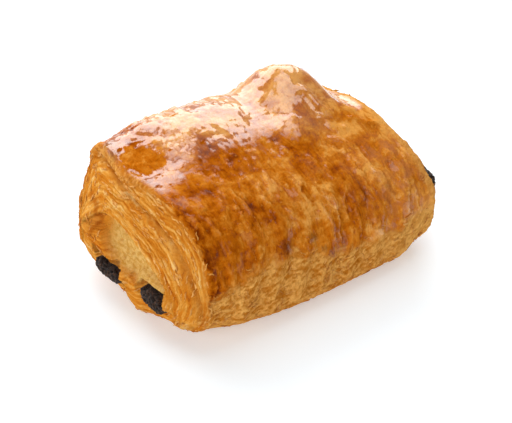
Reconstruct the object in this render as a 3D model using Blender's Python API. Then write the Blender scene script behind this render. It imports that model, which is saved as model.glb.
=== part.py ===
"""Pain au chocolat: a laminated pastry roll baked round two sticks of dark chocolate.

The roll lies along X. Its cut end towards -X shows the wraps and the tips of the
sticks, the front faces -Y, and the flat base rests on Z = 0. All sizes are metres.
"""
import bpy
import bmesh
import numpy as np
from mathutils import Matrix, Vector

MM = 0.001

# Body of the roll, from rim to rim, without its domed cut ends
ROLL_LENGTH = 64.8 * MM
ROLL_WIDTH = 53.0 * MM
BARREL = 0.02
NEAR_TOP = 33.9 * MM
FAR_TOP = 27.4 * MM
WAIST_HEIGHT = 11.2 * MM
UPPER_BLEND = 8.0 * MM
END_SHOULDER_POWER = 3.2
MID_SHOULDER_POWER = 2.7
FOOT_POWER = 3.6
NEAR_FOOT_POWER = 2.0
BASE_SINK = 1.0 * MM

# The ends, which begin at this share of the half length: how far their feet are drawn in
END_BEGINS = 0.72
TUCK_BAND = 0.5
NEAR_TUCK = 1.9 * MM
FAR_TUCK = 2.6 * MM

# The far rim stands out most halfway up
FLARE_BEGINS = 0.55
FAR_FLARE = 1.8 * MM
FLARE_Z = 12.9 * MM
FLARE_HEIGHT = 8.1 * MM

# Swellings of the crust: centre x, centre y, spread x, spread y, rise. The last one is a dip.
SWELLING_POWER = 2.6
SWELLINGS = (
    (-5.2 * MM, 14.4 * MM, 19.1 * MM, 21.4 * MM, 7.1 * MM),
    (18.4 * MM, 11.5 * MM, 8.6 * MM, 13.0 * MM, 10.3 * MM),
    (27.7 * MM, -1.4 * MM, 7.9 * MM, 12.0 * MM, 3.6 * MM),
    (-25.8 * MM, 17.0 * MM, 9.7 * MM, 9.0 * MM, 2.3 * MM),
    (26.9 * MM, 4.0 * MM, 3.2 * MM, 8.0 * MM, -1.8 * MM),
)

# Domed cut ends, drawn in towards the core of the roll. The near rim recedes at the back.
CORE_Y = -1.6 * MM
CORE_Z = 15.6 * MM
NEAR_BULGE = 4.7 * MM
FAR_BULGE = 3.5 * MM
CAP_POWER = 3.2
CAP_FOOT_POWER = 7.6
CAP_FOOT_TOP = 0.3
BACK_RECESS = 3.4 * MM
RECESS_BEGINS = 0.4
RECESS_LOW = 0.7
RECESS_HIGH = 1.6

# Wraps of the dough as they show on the cut ends. A share of 1 is the rim and 0 is the core.
RIM_BAND = 0.93
CREASE_SHARE = 0.77
CREASE_OPENING_BELOW = 0.23
CREASE_OPENING_BEHIND = 0.08
CREASE_MIDDLE = 130.0
CREASE_QUARTER = 70.0
CREASE_SHOWS = (20.0, 45.0)
CREASE_FADES = (190.0, 205.0)
CREASE_DEPTH = 0.9 * MM
CREASE_WIDTH = 0.035
WRAP_RISE = 0.7 * MM
WRAP_EDGE = (0.98, 1.15)
WRAP_FADE = 0.10
POCKET_Y = 1.5 * MM
POCKET_Z = 13.0 * MM
POCKET_HALF_WIDTH = 17.5 * MM
POCKET_HALF_HEIGHT = 11.0 * MM
POCKET_POWER = 1.5
POCKET_DEPTH = 2.0 * MM
POCKET_EDGE = (0.82, 1.06)
LIP_Z = 11.4 * MM
LIP_RISE = 4.8 * MM
LIP_CLIMB = (2.0 * MM, 13.0 * MM)
LIP_SOFTNESS = 1.8 * MM
HOLLOW_Y = 8.4 * MM
HOLLOW_Z = 10.8 * MM
HOLLOW_HALF_WIDTH = 6.3 * MM
HOLLOW_HALF_HEIGHT = 2.4 * MM
HOLLOW_DEPTH = 1.8 * MM

# Below the back stick the near end curls in
CURL_Y = 6.5 * MM
CURL_HALF_WIDTH = 8.0 * MM
CURL_TOP = 8.5 * MM
CURL_BOTTOM = 4.5 * MM
CURL_DEPTH = 1.0 * MM

# Wrinkles that run round the front, and the seam under the base
WRINKLE_RISE = 0.35 * MM
WRINKLE_SPACING = 7.4 * MM
WRINKLE_SWAY = 0.35
WRINKLE_SWAY_HEIGHT = 6.0 * MM
WRINKLE_FADE = 0.7
FRONT_BEGINS = 0.20
FRONT_FULL = 0.46
FRONT_FOOT = (2.0 * MM, 8.0 * MM)
SEAM_Y = -5.0 * MM
SEAM_WIDTH = 1.6 * MM
SEAM_DEPTH = 1.1 * MM
SEAM_FADE = 3.0 * MM

# Chocolate sticks: tip at -X and tip at +X as (x, y, z) of the centre line, width, thickness
STICK_BACK = ((-38.7, 6.2, 8.5), (39.4, 5.6, 9.4), 10.8, 4.3)
STICK_FRONT = ((-38.2, -11.0, 10.3), (40.5, -12.6, 13.2), 10.2, 5.2)
STICK_EDGE = 1.3 * MM
STICK_BEVEL_STEPS = 4
STICK_CLEARANCE = 0.3 * MM
TUNNEL_OVERRUN = 6.0 * MM
SHARP_ANGLE = 40.0

# Mesh density
COLUMNS = 84
CAP_RINGS = 17
BODY_RINGS = 30
OUTLINE_SAMPLES = 480


def ease(start, end, value):
    """Smooth step from 0 at start to 1 at end."""
    t = np.clip((value - start) / (end - start), 0.0, 1.0)
    return t * t * (3.0 - 2.0 * t)


def bell(value, middle, spread, power=2.0):
    return np.exp(-np.abs((value - middle) / spread) ** power)


def signed_power(value, power):
    return np.sign(value) * np.abs(value) ** power


def section(x, columns):
    """Outline of the roll at each x as (y, z) arrays of shape (len(x), columns).

    Column 0 is the middle of the underside; the columns run evenly up the front,
    over the top and down the back.
    """
    x = np.asarray(x, dtype=float)[:, None]
    along = np.clip(x / (ROLL_LENGTH / 2), -1.0, 1.0)
    turn = np.linspace(0.0, 1.0, OUTLINE_SAMPLES + 1)[None, :]
    side = -np.sin(2 * np.pi * turn)
    rise = -np.cos(2 * np.pi * turn)
    near_end = ease(0.0, 1.0, -along)
    end_share = ease(END_BEGINS, 1.0, np.abs(along))
    tuck = np.where(along < 0, NEAR_TUCK, FAR_TUCK)
    half_width = ROLL_WIDTH / 2 * (1 + BARREL * (1 - along ** 2))
    half_width = half_width - tuck * end_share * ease(TUCK_BAND, -TUCK_BAND, rise)
    foot = FOOT_POWER + (NEAR_FOOT_POWER - FOOT_POWER) * near_end
    shoulder = MID_SHOULDER_POWER + (END_SHOULDER_POWER - MID_SHOULDER_POWER) * along ** 2
    power = np.where(rise > 0, shoulder, foot)
    top = NEAR_TOP + (FAR_TOP - NEAR_TOP) * (along + 1) / 2
    low = -BASE_SINK * (1 - end_share)
    y = half_width * signed_power(side, 2 / power)
    reach = np.where(rise > 0, top - WAIST_HEIGHT, WAIST_HEIGHT - low)
    z = WAIST_HEIGHT + reach * signed_power(rise, 2 / power)
    upper = ease(WAIST_HEIGHT, WAIST_HEIGHT + UPPER_BLEND, z)
    for cx, cy, sx, sy, height in SWELLINGS:
        z = z + upper * height * bell(x, cx, sx, SWELLING_POWER) * bell(y, cy, sy)
    z = np.maximum(z, 0.0)
    rows = []
    for row_y, row_z in zip(y, z):
        run = np.concatenate(([0.0], np.cumsum(np.hypot(np.diff(row_y), np.diff(row_z)))))
        steps = np.linspace(0.0, run[-1], columns, endpoint=False)
        rows.append((np.interp(steps, run, row_y), np.interp(steps, run, row_z)))
    out_y, out_z = (np.array(part) for part in zip(*rows))
    return out_y, out_z


def pocket_reach(y, z):
    """1 on the edge of the hollow middle of a cut end, which is arched above and open below."""
    across = np.abs(y - POCKET_Y) / POCKET_HALF_WIDTH
    above = np.maximum(z - POCKET_Z, 0.0) / POCKET_HALF_HEIGHT
    return (across ** POCKET_POWER + above ** POCKET_POWER) ** (1 / POCKET_POWER)


def lip_height(y):
    """Height of the folded lip below the pocket, which climbs towards the back."""
    return LIP_Z + LIP_RISE * ease(*LIP_CLIMB, y)


def wrap_relief(y, z, rho):
    """How far the wraps stand out of a cut end at (y, z); rho is 1 at the rim."""
    turn = np.degrees(np.arctan2(z - CORE_Z, y - CORE_Y))
    turn = np.where(turn < -90.0, turn + 360.0, turn)
    opening = np.where(turn > CREASE_MIDDLE, CREASE_OPENING_BELOW, CREASE_OPENING_BEHIND)
    crease = CREASE_SHARE + opening * ((turn - CREASE_MIDDLE) / CREASE_QUARTER) ** 2
    shown = ease(*CREASE_SHOWS, turn) * (1 - ease(*CREASE_FADES, turn))
    relief = -CREASE_DEPTH * shown * bell(rho, crease, CREASE_WIDTH)
    reach = pocket_reach(y, z)
    lip = lip_height(y)
    above_lip = ease(lip - LIP_SOFTNESS, lip + LIP_SOFTNESS, z)
    relief = relief - POCKET_DEPTH * above_lip * (1 - ease(*POCKET_EDGE, reach))
    second_wrap = ease(*WRAP_EDGE, reach) * (1 - ease(crease - WRAP_FADE, crease, rho))
    relief = relief + WRAP_RISE * shown * second_wrap
    hollow = bell(y, HOLLOW_Y, HOLLOW_HALF_WIDTH, 4.0) * bell(z, HOLLOW_Z, HOLLOW_HALF_HEIGHT)
    return relief - HOLLOW_DEPTH * hollow


def roll_surface(along, columns):
    """Points of the roll; along runs -2 at the near core, -1 to 1 over the body, 2 at the far core."""
    along = np.asarray(along, dtype=float)
    y, z = section(np.clip(along, -1.0, 1.0) * ROLL_LENGTH / 2, columns)
    rho = 1.0 - np.clip(np.abs(along) - 1.0, 0.0, 1.0)[:, None]
    outward = np.where(along < 0, -1.0, 1.0)[:, None]
    bulge = np.where(along < 0, NEAR_BULGE, FAR_BULGE)[:, None]
    x = np.clip(along, -1.0, 1.0)[:, None] * ROLL_LENGTH / 2 + 0.0 * y
    near_side = ease(-RECESS_BEGINS, -1.0, along)[:, None]
    back_share = ease(0.0, ROLL_WIDTH / 2, y) * ease(RECESS_LOW * CORE_Z, RECESS_HIGH * CORE_Z, z)
    foot_share = ease(CORE_Z, CAP_FOOT_TOP * CORE_Z, z)
    flare = FAR_FLARE * ease(FLARE_BEGINS, 1.0, along)[:, None] * bell(z, FLARE_Z, FLARE_HEIGHT)
    y = CORE_Y + (y - CORE_Y) * rho
    z = CORE_Z + (z - CORE_Z) * rho
    on_body = rho > 0.9999
    power = CAP_POWER + (CAP_FOOT_POWER - CAP_POWER) * foot_share
    x = x + outward * bulge * (1 - rho ** power)
    x = x + BACK_RECESS * back_share * rho * near_side + flare * rho
    curl = CURL_DEPTH * bell(y, CURL_Y, CURL_HALF_WIDTH, 4.0) * ease(CURL_TOP, CURL_BOTTOM, z) * near_side
    x = x + curl
    relief = wrap_relief(y, z, rho) * (1 - ease(RIM_BAND, 1.0, rho))
    x = x + np.where(on_body, 0.0, outward * relief)
    front = ease(-FRONT_BEGINS * ROLL_WIDTH, -FRONT_FULL * ROLL_WIDTH, y) * ease(*FRONT_FOOT, z)
    sway = WRINKLE_SWAY * np.sin(z / WRINKLE_SWAY_HEIGHT)
    wave = front * np.sin(2 * np.pi * (x / WRINKLE_SPACING + sway))
    middle = 1 - ease(WRINKLE_FADE, 1.0, np.abs(along))[:, None]
    y = y - np.where(on_body, WRINKLE_RISE * wave * middle, 0.0)
    seam = SEAM_DEPTH * bell(y, SEAM_Y, SEAM_WIDTH) * (1 - ease(0.0, SEAM_FADE, z))
    z = z + np.where(on_body, seam, 0.0)
    return np.stack((x, y, z), axis=-1)


def ring_positions():
    near = np.linspace(-2.0, -1.0, CAP_RINGS + 1)
    body = np.linspace(-1.0, 1.0, BODY_RINGS + 1)[1:-1]
    far = np.linspace(1.0, 2.0, CAP_RINGS + 1)
    return np.concatenate((near, body, far))


def make_roll(name, material):
    """Reshape a UV sphere into the roll: its poles become the cores of the two cut ends."""
    positions = ring_positions()
    points = roll_surface(positions, COLUMNS)
    mesh = bpy.data.meshes.new(name)
    bm = bmesh.new()
    bmesh.ops.create_uvsphere(bm, u_segments=COLUMNS, v_segments=len(positions) - 1, radius=1.0)
    for vert in bm.verts:
        x, y, z = vert.co
        ring = round(float(np.arccos(np.clip(z, -1.0, 1.0))) / np.pi * (len(positions) - 1))
        column = round(float(np.arctan2(y, x)) / (2 * np.pi) * COLUMNS) % COLUMNS
        vert.co = Vector(points[ring, column])
    bmesh.ops.triangulate(bm, faces=bm.faces)
    bmesh.ops.recalc_face_normals(bm, faces=bm.faces)
    bm.to_mesh(mesh)
    bm.free()
    mesh.shade_smooth()
    mesh.materials.append(material)
    return bpy.data.objects.new(name, mesh)


def make_stick(name, stick, material, extra=0.0, overrun=0.0):
    """A rounded bar along its centre line; extra thickens it all round for its tunnel."""
    near_tip, far_tip, width, thickness = stick
    near = Vector(near_tip) * MM
    run = Vector(far_tip) * MM - near
    length = run.length + 2 * overrun
    mesh = bpy.data.meshes.new(name)
    bm = bmesh.new()
    bmesh.ops.create_cube(bm, size=1.0)
    size = Vector((length, width * MM + 2 * extra, thickness * MM + 2 * extra))
    bmesh.ops.scale(bm, verts=bm.verts, vec=size)
    edges = [e for e in bm.edges if overrun == 0.0 or abs((e.verts[0].co - e.verts[1].co).x) > length / 2]
    bmesh.ops.bevel(bm, geom=edges, offset=STICK_EDGE + extra, segments=STICK_BEVEL_STEPS, profile=0.5,
                    affect='EDGES')
    turn = run.to_track_quat('X', 'Z').to_matrix().to_4x4()
    bmesh.ops.transform(bm, matrix=Matrix.Translation(near + run / 2) @ turn, verts=bm.verts)
    bmesh.ops.triangulate(bm, faces=bm.faces)
    bmesh.ops.recalc_face_normals(bm, faces=bm.faces)
    bm.to_mesh(mesh)
    bm.free()
    mesh.shade_smooth()
    mesh.set_sharp_from_angle(angle=np.radians(SHARP_ANGLE))
    if material:
        mesh.materials.append(material)
    return bpy.data.objects.new(name, mesh)


def make_material(name, colour, roughness):
    material = bpy.data.materials.new(name)
    material.use_nodes = True
    shader = material.node_tree.nodes['Principled BSDF']
    shader.inputs['Base Color'].default_value = (*colour, 1.0)
    shader.inputs['Roughness'].default_value = roughness
    shader.inputs['Metallic'].default_value = 0.0
    return material


def cut_tunnel(target, cutter, cutters):
    cutters.objects.link(cutter)
    cutter.hide_render = True
    cutter.display_type = 'WIRE'
    modifier = target.modifiers.new(cutter.name, 'BOOLEAN')
    modifier.operation = 'DIFFERENCE'
    modifier.solver = 'EXACT'
    modifier.object = cutter


def centre_on_origin(objects):
    """Slide everything along the floor until the middle of the overall box is over the origin."""
    solids = [ob for ob in objects if not ob.hide_render]
    corners = np.array([v.co for ob in solids for v in ob.data.vertices])
    middle = (corners.min(axis=0) + corners.max(axis=0)) / 2
    shift = Matrix.Translation((-middle[0], -middle[1], -corners[:, 2].min()))
    for ob in objects:
        ob.data.transform(shift)
    print('slid by', [round(float(v), 6) for v in shift.translation])


def main():
    for ob in list(bpy.data.objects):
        bpy.data.objects.remove(ob, do_unlink=True)
    parts = bpy.data.collections.new('pain_au_chocolat')
    cutters = bpy.data.collections.new('cutters')
    bpy.context.scene.collection.children.link(parts)
    bpy.context.scene.collection.children.link(cutters)
    crust = make_material('baked_crust', (0.52, 0.20, 0.035), 0.35)
    chocolate = make_material('dark_chocolate', (0.022, 0.013, 0.010), 0.5)

    roll = make_roll('pastry', crust)
    parts.objects.link(roll)
    made = [roll]
    for name, stick in (('chocolate_stick_back', STICK_BACK), ('chocolate_stick_front', STICK_FRONT)):
        bar = make_stick(name, stick, chocolate)
        parts.objects.link(bar)
        tunnel = make_stick('tunnel_for_' + name, stick, None, STICK_CLEARANCE, TUNNEL_OVERRUN)
        cut_tunnel(roll, tunnel, cutters)
        made += [bar, tunnel]
    centre_on_origin(made)


if __name__ == '__main__':
    main()
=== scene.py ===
"""The looks of a pain au chocolat: baked crust, layered cut ends, chocolate sticks, flakes.

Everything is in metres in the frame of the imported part. The roll's form follows the same
named sizes as its solid, on a much finer mesh.
"""

import math
from types import SimpleNamespace

import bmesh
import bpy
import numpy as np
from mathutils import Matrix, Vector


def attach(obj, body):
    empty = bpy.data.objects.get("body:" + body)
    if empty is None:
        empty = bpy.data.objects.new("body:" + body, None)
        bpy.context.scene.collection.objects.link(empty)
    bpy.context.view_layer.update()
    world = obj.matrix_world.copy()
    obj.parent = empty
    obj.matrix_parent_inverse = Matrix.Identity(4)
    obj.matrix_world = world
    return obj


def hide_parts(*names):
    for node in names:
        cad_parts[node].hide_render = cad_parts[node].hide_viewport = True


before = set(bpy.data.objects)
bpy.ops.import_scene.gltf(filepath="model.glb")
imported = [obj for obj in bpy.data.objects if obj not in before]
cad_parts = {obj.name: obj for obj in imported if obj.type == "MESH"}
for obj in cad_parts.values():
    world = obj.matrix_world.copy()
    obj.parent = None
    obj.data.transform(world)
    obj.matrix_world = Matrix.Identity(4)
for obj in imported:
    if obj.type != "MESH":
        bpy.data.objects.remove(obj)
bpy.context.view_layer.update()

MM = 0.001

# Where the solid was slid to, so that its box is centred over the origin
SLIDE = np.array((-0.942, 0.160, 0.0)) * MM

# Body of the roll, from rim to rim, without its domed cut ends
ROLL_LENGTH = 64.8 * MM
ROLL_WIDTH = 53.0 * MM
BARREL = 0.02
NEAR_TOP = 33.9 * MM
FAR_TOP = 27.4 * MM
WAIST_HEIGHT = 11.2 * MM
UPPER_BLEND = 8.0 * MM
END_SHOULDER_POWER = 3.2
MID_SHOULDER_POWER = 2.7
FOOT_POWER = 3.6
NEAR_FOOT_POWER = 2.0
BASE_SINK = 1.0 * MM

# The ends, which begin at this share of the half length: how far their feet are drawn in
END_BEGINS = 0.72
TUCK_BAND = 0.5
NEAR_TUCK = 1.9 * MM
FAR_TUCK = 2.6 * MM

# The far rim stands out most halfway up
FLARE_BEGINS = 0.55
FAR_FLARE = 1.8 * MM
FLARE_Z = 12.9 * MM
FLARE_HEIGHT = 8.1 * MM

# Swellings of the crust: centre x, centre y, spread x, spread y, rise. The last one is a dip.
SWELLING_POWER = 2.6
SWELLINGS = (
    (-5.2 * MM, 14.4 * MM, 19.1 * MM, 21.4 * MM, 7.1 * MM),
    (18.4 * MM, 11.5 * MM, 8.6 * MM, 13.0 * MM, 10.3 * MM),
    (27.7 * MM, -1.4 * MM, 7.9 * MM, 12.0 * MM, 3.6 * MM),
    (-25.8 * MM, 17.0 * MM, 9.7 * MM, 9.0 * MM, 2.3 * MM),
    (26.9 * MM, 4.0 * MM, 3.2 * MM, 8.0 * MM, -1.8 * MM),
)

# Domed cut ends, drawn in towards the core of the roll. The near rim recedes at the back.
CORE_Y = -1.6 * MM
CORE_Z = 15.6 * MM
NEAR_BULGE = 4.7 * MM
FAR_BULGE = 3.5 * MM
CAP_POWER = 3.2
CAP_FOOT_POWER = 7.6
CAP_FOOT_TOP = 0.3
BACK_RECESS = 3.4 * MM
RECESS_BEGINS = 0.4
RECESS_LOW = 0.7
RECESS_HIGH = 1.6

# Wraps of the dough as they show on the cut ends. A share of 1 is the rim and 0 is the core.
RIM_BAND = 0.93
CREASE_SHARE = 0.77
CREASE_OPENING_BELOW = 0.23
CREASE_OPENING_BEHIND = 0.08
CREASE_MIDDLE = 130.0
CREASE_QUARTER = 70.0
CREASE_SHOWS = (20.0, 45.0)
CREASE_FADES = (190.0, 205.0)
CREASE_DEPTH = 0.7 * MM
CREASE_WIDTH = 0.026
WRAP_RISE = 0.7 * MM
WRAP_EDGE = (0.98, 1.12)
WRAPS_EDGE = (0.95, 1.04)
LEAST_RIM_REACH = 0.05
CREASE_MARK_WIDTH = 1.5 * CREASE_WIDTH
WRAP_FADE = 0.10
POCKET_Y = 1.5 * MM
POCKET_Z = 13.0 * MM
POCKET_HALF_WIDTH = 17.5 * MM
POCKET_HALF_HEIGHT = 11.0 * MM
POCKET_POWER = 1.5
POCKET_DEPTH = 2.0 * MM
POCKET_EDGE = (0.90, 1.02)
LIP_Z = 11.4 * MM
LIP_RISE = 4.8 * MM
LIP_CLIMB = (2.0 * MM, 13.0 * MM)
LIP_SOFTNESS = 0.8 * MM
HOLLOW_Y = 8.4 * MM
HOLLOW_Z = 11.0 * MM
HOLLOW_HALF_WIDTH = 6.3 * MM
HOLLOW_HALF_HEIGHT = 1.2 * MM
HOLLOW_DEPTH = 0.9 * MM

# Below each stick the near end curls in: middle y, half width, top, bottom and depth in mm
CURLS = (
    (6.5, 8.0, 8.5, 4.5, 1.0),
    (-10.5, 6.0, 9.0, 5.5, 1.3),
)

# Wrinkles that run round the front, and the seam under the base
WRINKLE_RISE = 0.35 * MM
WRINKLE_SPACING = 7.4 * MM
WRINKLE_SWAY = 0.35
WRINKLE_SWAY_HEIGHT = 6.0 * MM
WRINKLE_FADE = 0.7
FRONT_BEGINS = 0.20
FRONT_FULL = 0.46
FRONT_FOOT = (2.0 * MM, 8.0 * MM)
SEAM_Y = -5.0 * MM
SEAM_WIDTH = 1.6 * MM
SEAM_DEPTH = 1.1 * MM
SEAM_FADE = 3.0 * MM

# Finer forms of the near cut end: a flap at the back and a tongue between the sticks
FLAP_Y = 16.6 * MM
FLAP_Z = 17.6 * MM
FLAP_HALF_WIDTH = 3.0 * MM
FLAP_HALF_HEIGHT = 4.2 * MM
FLAP_RISE = 1.7 * MM
TONGUE_Y = -1.9 * MM
TONGUE_HALF_WIDTH = 3.6 * MM
TONGUE_RISE = 0.6 * MM
TONGUE_TOP = 1.5 * MM
EDGE_ROLL = 0.5 * MM
EDGE_ROLL_REACH = 1.07
EDGE_ROLL_WIDTH = 0.05
LIP_ROLL_DROP = 1.2 * MM
LEAVES_PER_WRAP = 17.0

# How far the glazed crust folds over the rim at the back of the near top, as a share
CRUST_OVERLAP = 0.12
CRUST_OVERLAP_TURN = 62.0
CRUST_OVERLAP_SPREAD = 22.0

# Dough drawn back from the sides of the sticks, with a brow above each
STICK_GAP_DEPTH = 0.9 * MM
STICK_GAP = (0.1 * MM, 0.8 * MM)
BACK_BROW = 0.8 * MM
FRONT_BROW = 1.7 * MM
BROW_REACH = 3.6 * MM

# The sticks: tip at -X and tip at +X of the centre line in mm, width, thickness
STICK_BACK = ((-38.8, 6.3, 8.3), (39.4, 5.6, 9.4), 10.8, 4.3)
STICK_FRONT = ((-38.6, -10.7, 9.8), (41.8, -14.2, 13.6), 10.2, 5.2)
STICK_EDGE = 1.3 * MM
STICK_TIP_LENGTH = 0.9 * MM
STICK_TAPER_LENGTH = 7.0 * MM
STICK_BACK_TAPER = 0.04
STICK_FRONT_TAPER = 0.10
STICK_TIP_POWER = 4.0
STICK_WIDTH_POWER = 3.4
STICK_THICKNESS_POWER = 3.0
STICK_RINGS = 190
STICK_TIP_RINGS = 60
STICK_COLUMNS = 112

# Height of the edge between the glazed crust and the matt foot: far right, and its rise at the left
FOOT_HEIGHT = 13.5
FOOT_RISE = 6.5
FOOT_RISE_X = -15.0
FOOT_RISE_SPREAD = 14.0
BACK_FOOT_HEIGHT = 10.0

# Small scorch marks of the crust: x, y, z of the middle and radius in mm
SCORCH_MARKS = (
    (-0.6, -26.8, 17.2, 1.1),
    (-20.4, -26.6, 17.0, 1.9),
    (-10.6, -25.4, 21.2, 2.2),
    (-3.2, -25.4, 20.7, 1.7),
    (-31.0, 12.0, 34.0, 2.4),
    (-29.7, 16.0, 35.0, 2.0),
    (21.0, -24.5, 24.5, 1.6),
)

# Sharp creases of the crust on the right of the peak: x and y of both ends in mm, rise, width
CREASES = (
    (16.5, 5.0, 20.4, -4.4, 1.1, 1.0),
    (15.8, -2.4, 21.6, -8.4, 0.6, 0.8),
    (22.8, -5.9, 30.0, -9.4, 0.6, 0.8),
    (14.6, -8.4, 21.0, -12.6, 0.5, 0.7),
    (24.2, -1.0, 27.6, -4.0, 0.5, 0.8),
)
CREASE_SWAY = 0.5
CREASE_SWAY_TURN = 7.0
CREASE_RUNS_IN = (-0.10, 0.25)
CREASE_RUNS_OUT = (0.75, 1.10)
CREASED_ABOVE = 15.0 * MM

# A low swelling in front of the peak, where the sheen ends: x, y, spread and rise in mm
SHEEN_SWELLING = (10.4, -3.2, 5.2, 1.7)

# Middle and radius in mm of the amber hollow in the sheen near the cut end
AMBER_HOLLOW = (-28.5, 6.2, 35.5, 5.6)

# Heights near the table that count as the base, and shares of the width that count as the sides
BASE_BAND = (0.3 * MM, 2.0 * MM)
SIDE_BAND = (0.15, 0.75)

# Powers of forms with a flat middle and steep sides, and what counts as nothing
BLUNT = 4.0
VERY_BLUNT = 6.0
TINY = 1e-4

# Seed of the draw that places the loose flakes
FLAKE_SEED = 7

# Mesh density of the fine roll; column counts are multiples of four, as the sphere's are
COLUMNS = 332
NEAR_RINGS = 104
BODY_RINGS = 144
FAR_RINGS = 42
OUTLINE_SAMPLES = 1400


# Noise fields: scale, detail, roughness, distortion
FIELDS = {
    # Relief of the crust
    'rim': (0.55, 3.0, 0.55, 0.0),
    'wash': (0.32, 4.0, 0.6, 0.0),
    'bend': (0.12, 1.0, 0.5, 0.0),
    'lumps': (0.12, 2.0, 0.45, 0.0),
    'dents': (0.36, 2.0, 0.5, 0.0),
    'fold_wobble': (0.5, 3.0, 0.55, 0.0),
    'crumbs': (0.9, 4.0, 0.65, 0.0),
    # Relief of the cut ends
    'wander': (0.16, 2.0, 0.5, 0.0),
    'wobble': (0.45, 2.0, 0.5, 0.0),
    'streak': (1.0, 3.0, 0.6, 0.3),
    'leaf_drift': (1.0, 2.0, 0.5, 0.0),
    'leaf_patches': (0.28, 2.0, 0.5, 0.0),
    'sponge': (0.8, 4.0, 0.62, 0.0),
    # Finish of the pastry
    'broad': (0.10, 3.0, 0.55, 0.0),
    'patch': (0.34, 4.0, 0.6, 0.5),
    'fine': (1.2, 4.0, 0.65, 0.0),
    'speck': (3.2, 2.0, 0.6, 0.0),
    'strand': (1.0, 4.0, 0.62, 0.6),
    'chip': (1.0, 2.0, 0.6, 0.0),
    'grain': (1.0, 4.0, 0.66, 0.0),
    'toast': (0.24, 3.0, 0.6, 0.0),
    'bands': (1.0, 4.0, 0.62, 0.6),
    'sheen': (3.2, 3.0, 0.6, 0.0),
    'shine': (1.0, 4.0, 0.62, 0.5),
    'glaze_wrinkles': (1.0, 3.0, 0.55, 0.4),
    'skin': (2.6, 3.0, 0.6, 0.0),
    'dust': (6.0, 2.0, 0.5, 0.0),
    'layer_lines': (1.0, 2.0, 0.5, 0.0),
    # Chocolate and flakes
    'chocolate': (1.1, 4.0, 0.65, 0.0),
    'chocolate_dust_and_highlight': (1.2, 3.0, 0.6, 0.0),
    'chocolate_grit': (1.3, 4.0, 0.65, 0.0),
    'stick_waves': (0.32, 3.0, 0.6, 0.0),
    'stick_grains': (1.3, 3.0, 0.65, 0.0),
    'flake_bands': (0.35, 2.0, 0.5, 0.0),
    'flake_tone': (0.9, 3.0, 0.6, 0.0),
}

# Fields drawn out round the roll: rates per mm along and round it, how far each follows the bend,
# depth, then detail, roughness and distortion
FLOWS = {
    'ridges': (0.30, 0.055, 0.20, 0.0, 0.0, 2.0, 0.5, 0.0),
    'down': (0.80, 0.20, 0.40, 0.0, 4.0, 3.0, 0.6, 0.0),
    'lengthwise': (0.22, 0.62, 0.0, 0.40, 6.0, 3.0, 0.6, 0.0),
    'leaves': (0.20, 0.11, 0.10, 0.0, 9.0, 3.0, 0.55, 0.0),
    'fold_bend': (0.10, 0.06, 0.0, 0.0, 11.0, 2.0, 0.5, 0.0),
    'fold_patch': (0.16, 0.075, 0.0, 0.0, 3.0, 2.0, 0.5, 0.0),
    'foot_edges': (0.26, 0.55, 0.15, 0.25, 2.0, 3.0, 0.6, 0.8),
}

# Soft edges: the values at which each is 0 and 1
EDGES = {
    'cut': (-0.2, 0.6),
    'washed': (-2.0, 2.5),
    'fold_patch': (0.38, 0.58),
    'lip_outside': (-2.2, -0.5),
    'lip_inside': (0.5, -0.1),
    'lip_leaf': (0.40, 0.55),
    'leaf_patches': (0.40, 0.60),
    'cut_colour': (-0.15, 0.30),
    'washed_colour': (-1.5, 2.0),
    'bare_front': (-10.0, 0.0),
    'bare_far': (10.0, 20.0),
    'bare_rim': (-2.6, -0.4),
    'glaze_rim': (-0.3, -2.4),
    'bake_rim': (-3.5, -0.2),
    'bake_patch': (0.42, 0.62),
    'bake_front': (-9.0, -15.0),
    'bake_foot': (5.0, 0.5),
    'pale_strand': (0.60, 0.70),
    'pale_fine': (0.52, 0.62),
    # Patches of painted pink sheen
    'pink_sheen': (0.55, 0.75),
    'foot_tone': (0.05, 0.95),
    'foot_toast': (0.52, 0.38),
    'toast': (0.52, 0.70),
    'leaf_gap_tone_and_shade': (0.10, 0.0),
    'gap_patch': (0.40, 0.60),
    'rim_toast': (2.2, 0.2),
    'crumb': (0.32, 0.68),
    'pocket_back': (7.0, 12.0),
    'hollow': (0.35, 0.55),
    'flap_outside': (0.05, 0.3),
    'flap_inside': (0.75, 0.45),
    'glaze_front': (1.0, -4.0),
    'glaze_back': (16.0, 23.0),
    'amber': (0.0, 0.04),
    'amber_hollow': (1.05, 0.85),
    'shine': (0.52, 0.56),
    'brow': (0.45, 0.80),
    'sheen': (0.40, 0.58),
    'bubble': (0.50, 0.15),
    'chocolate': (0.35, 0.7),
    'chocolate_dust_and_highlight': (0.52, 0.62),
    'flake_cut': (-0.2, 0.5),
    'flake_bands': (0.44, 0.60),
    'flake_rim_out': (-1.5, -0.3),
    'flake_rim_in': (0.9, 0.2),
    'flake_foot': (4.0, -2.0),
    'flake_tone': (0.35, 0.65),
}


class Sum:
    """A socket that can be used in Python sums; each sum adds a Math node."""

    def __init__(self, graph, socket):
        self.graph = graph
        self.socket = socket

    def _math(self, operation, first, second=None):
        return self.graph.make('ShaderNodeMath', {'operation': operation}, {0: first, 1: second})

    def __add__(self, other):
        return self._math('ADD', self, other)

    def __radd__(self, other):
        return self._math('ADD', other, self)

    def __sub__(self, other):
        return self._math('SUBTRACT', self, other)

    def __rsub__(self, other):
        return self._math('SUBTRACT', other, self)

    def __mul__(self, other):
        return self._math('MULTIPLY', self, other)

    def __rmul__(self, other):
        return self._math('MULTIPLY', other, self)

    def __abs__(self):
        return self._math('ABSOLUTE', self)

    def floor(self):
        return self._math('FLOOR', self)

    def at_least(self, other):
        return self._math('MAXIMUM', self, other)

    def at_most(self, other):
        return self._math('MINIMUM', self, other)


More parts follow.
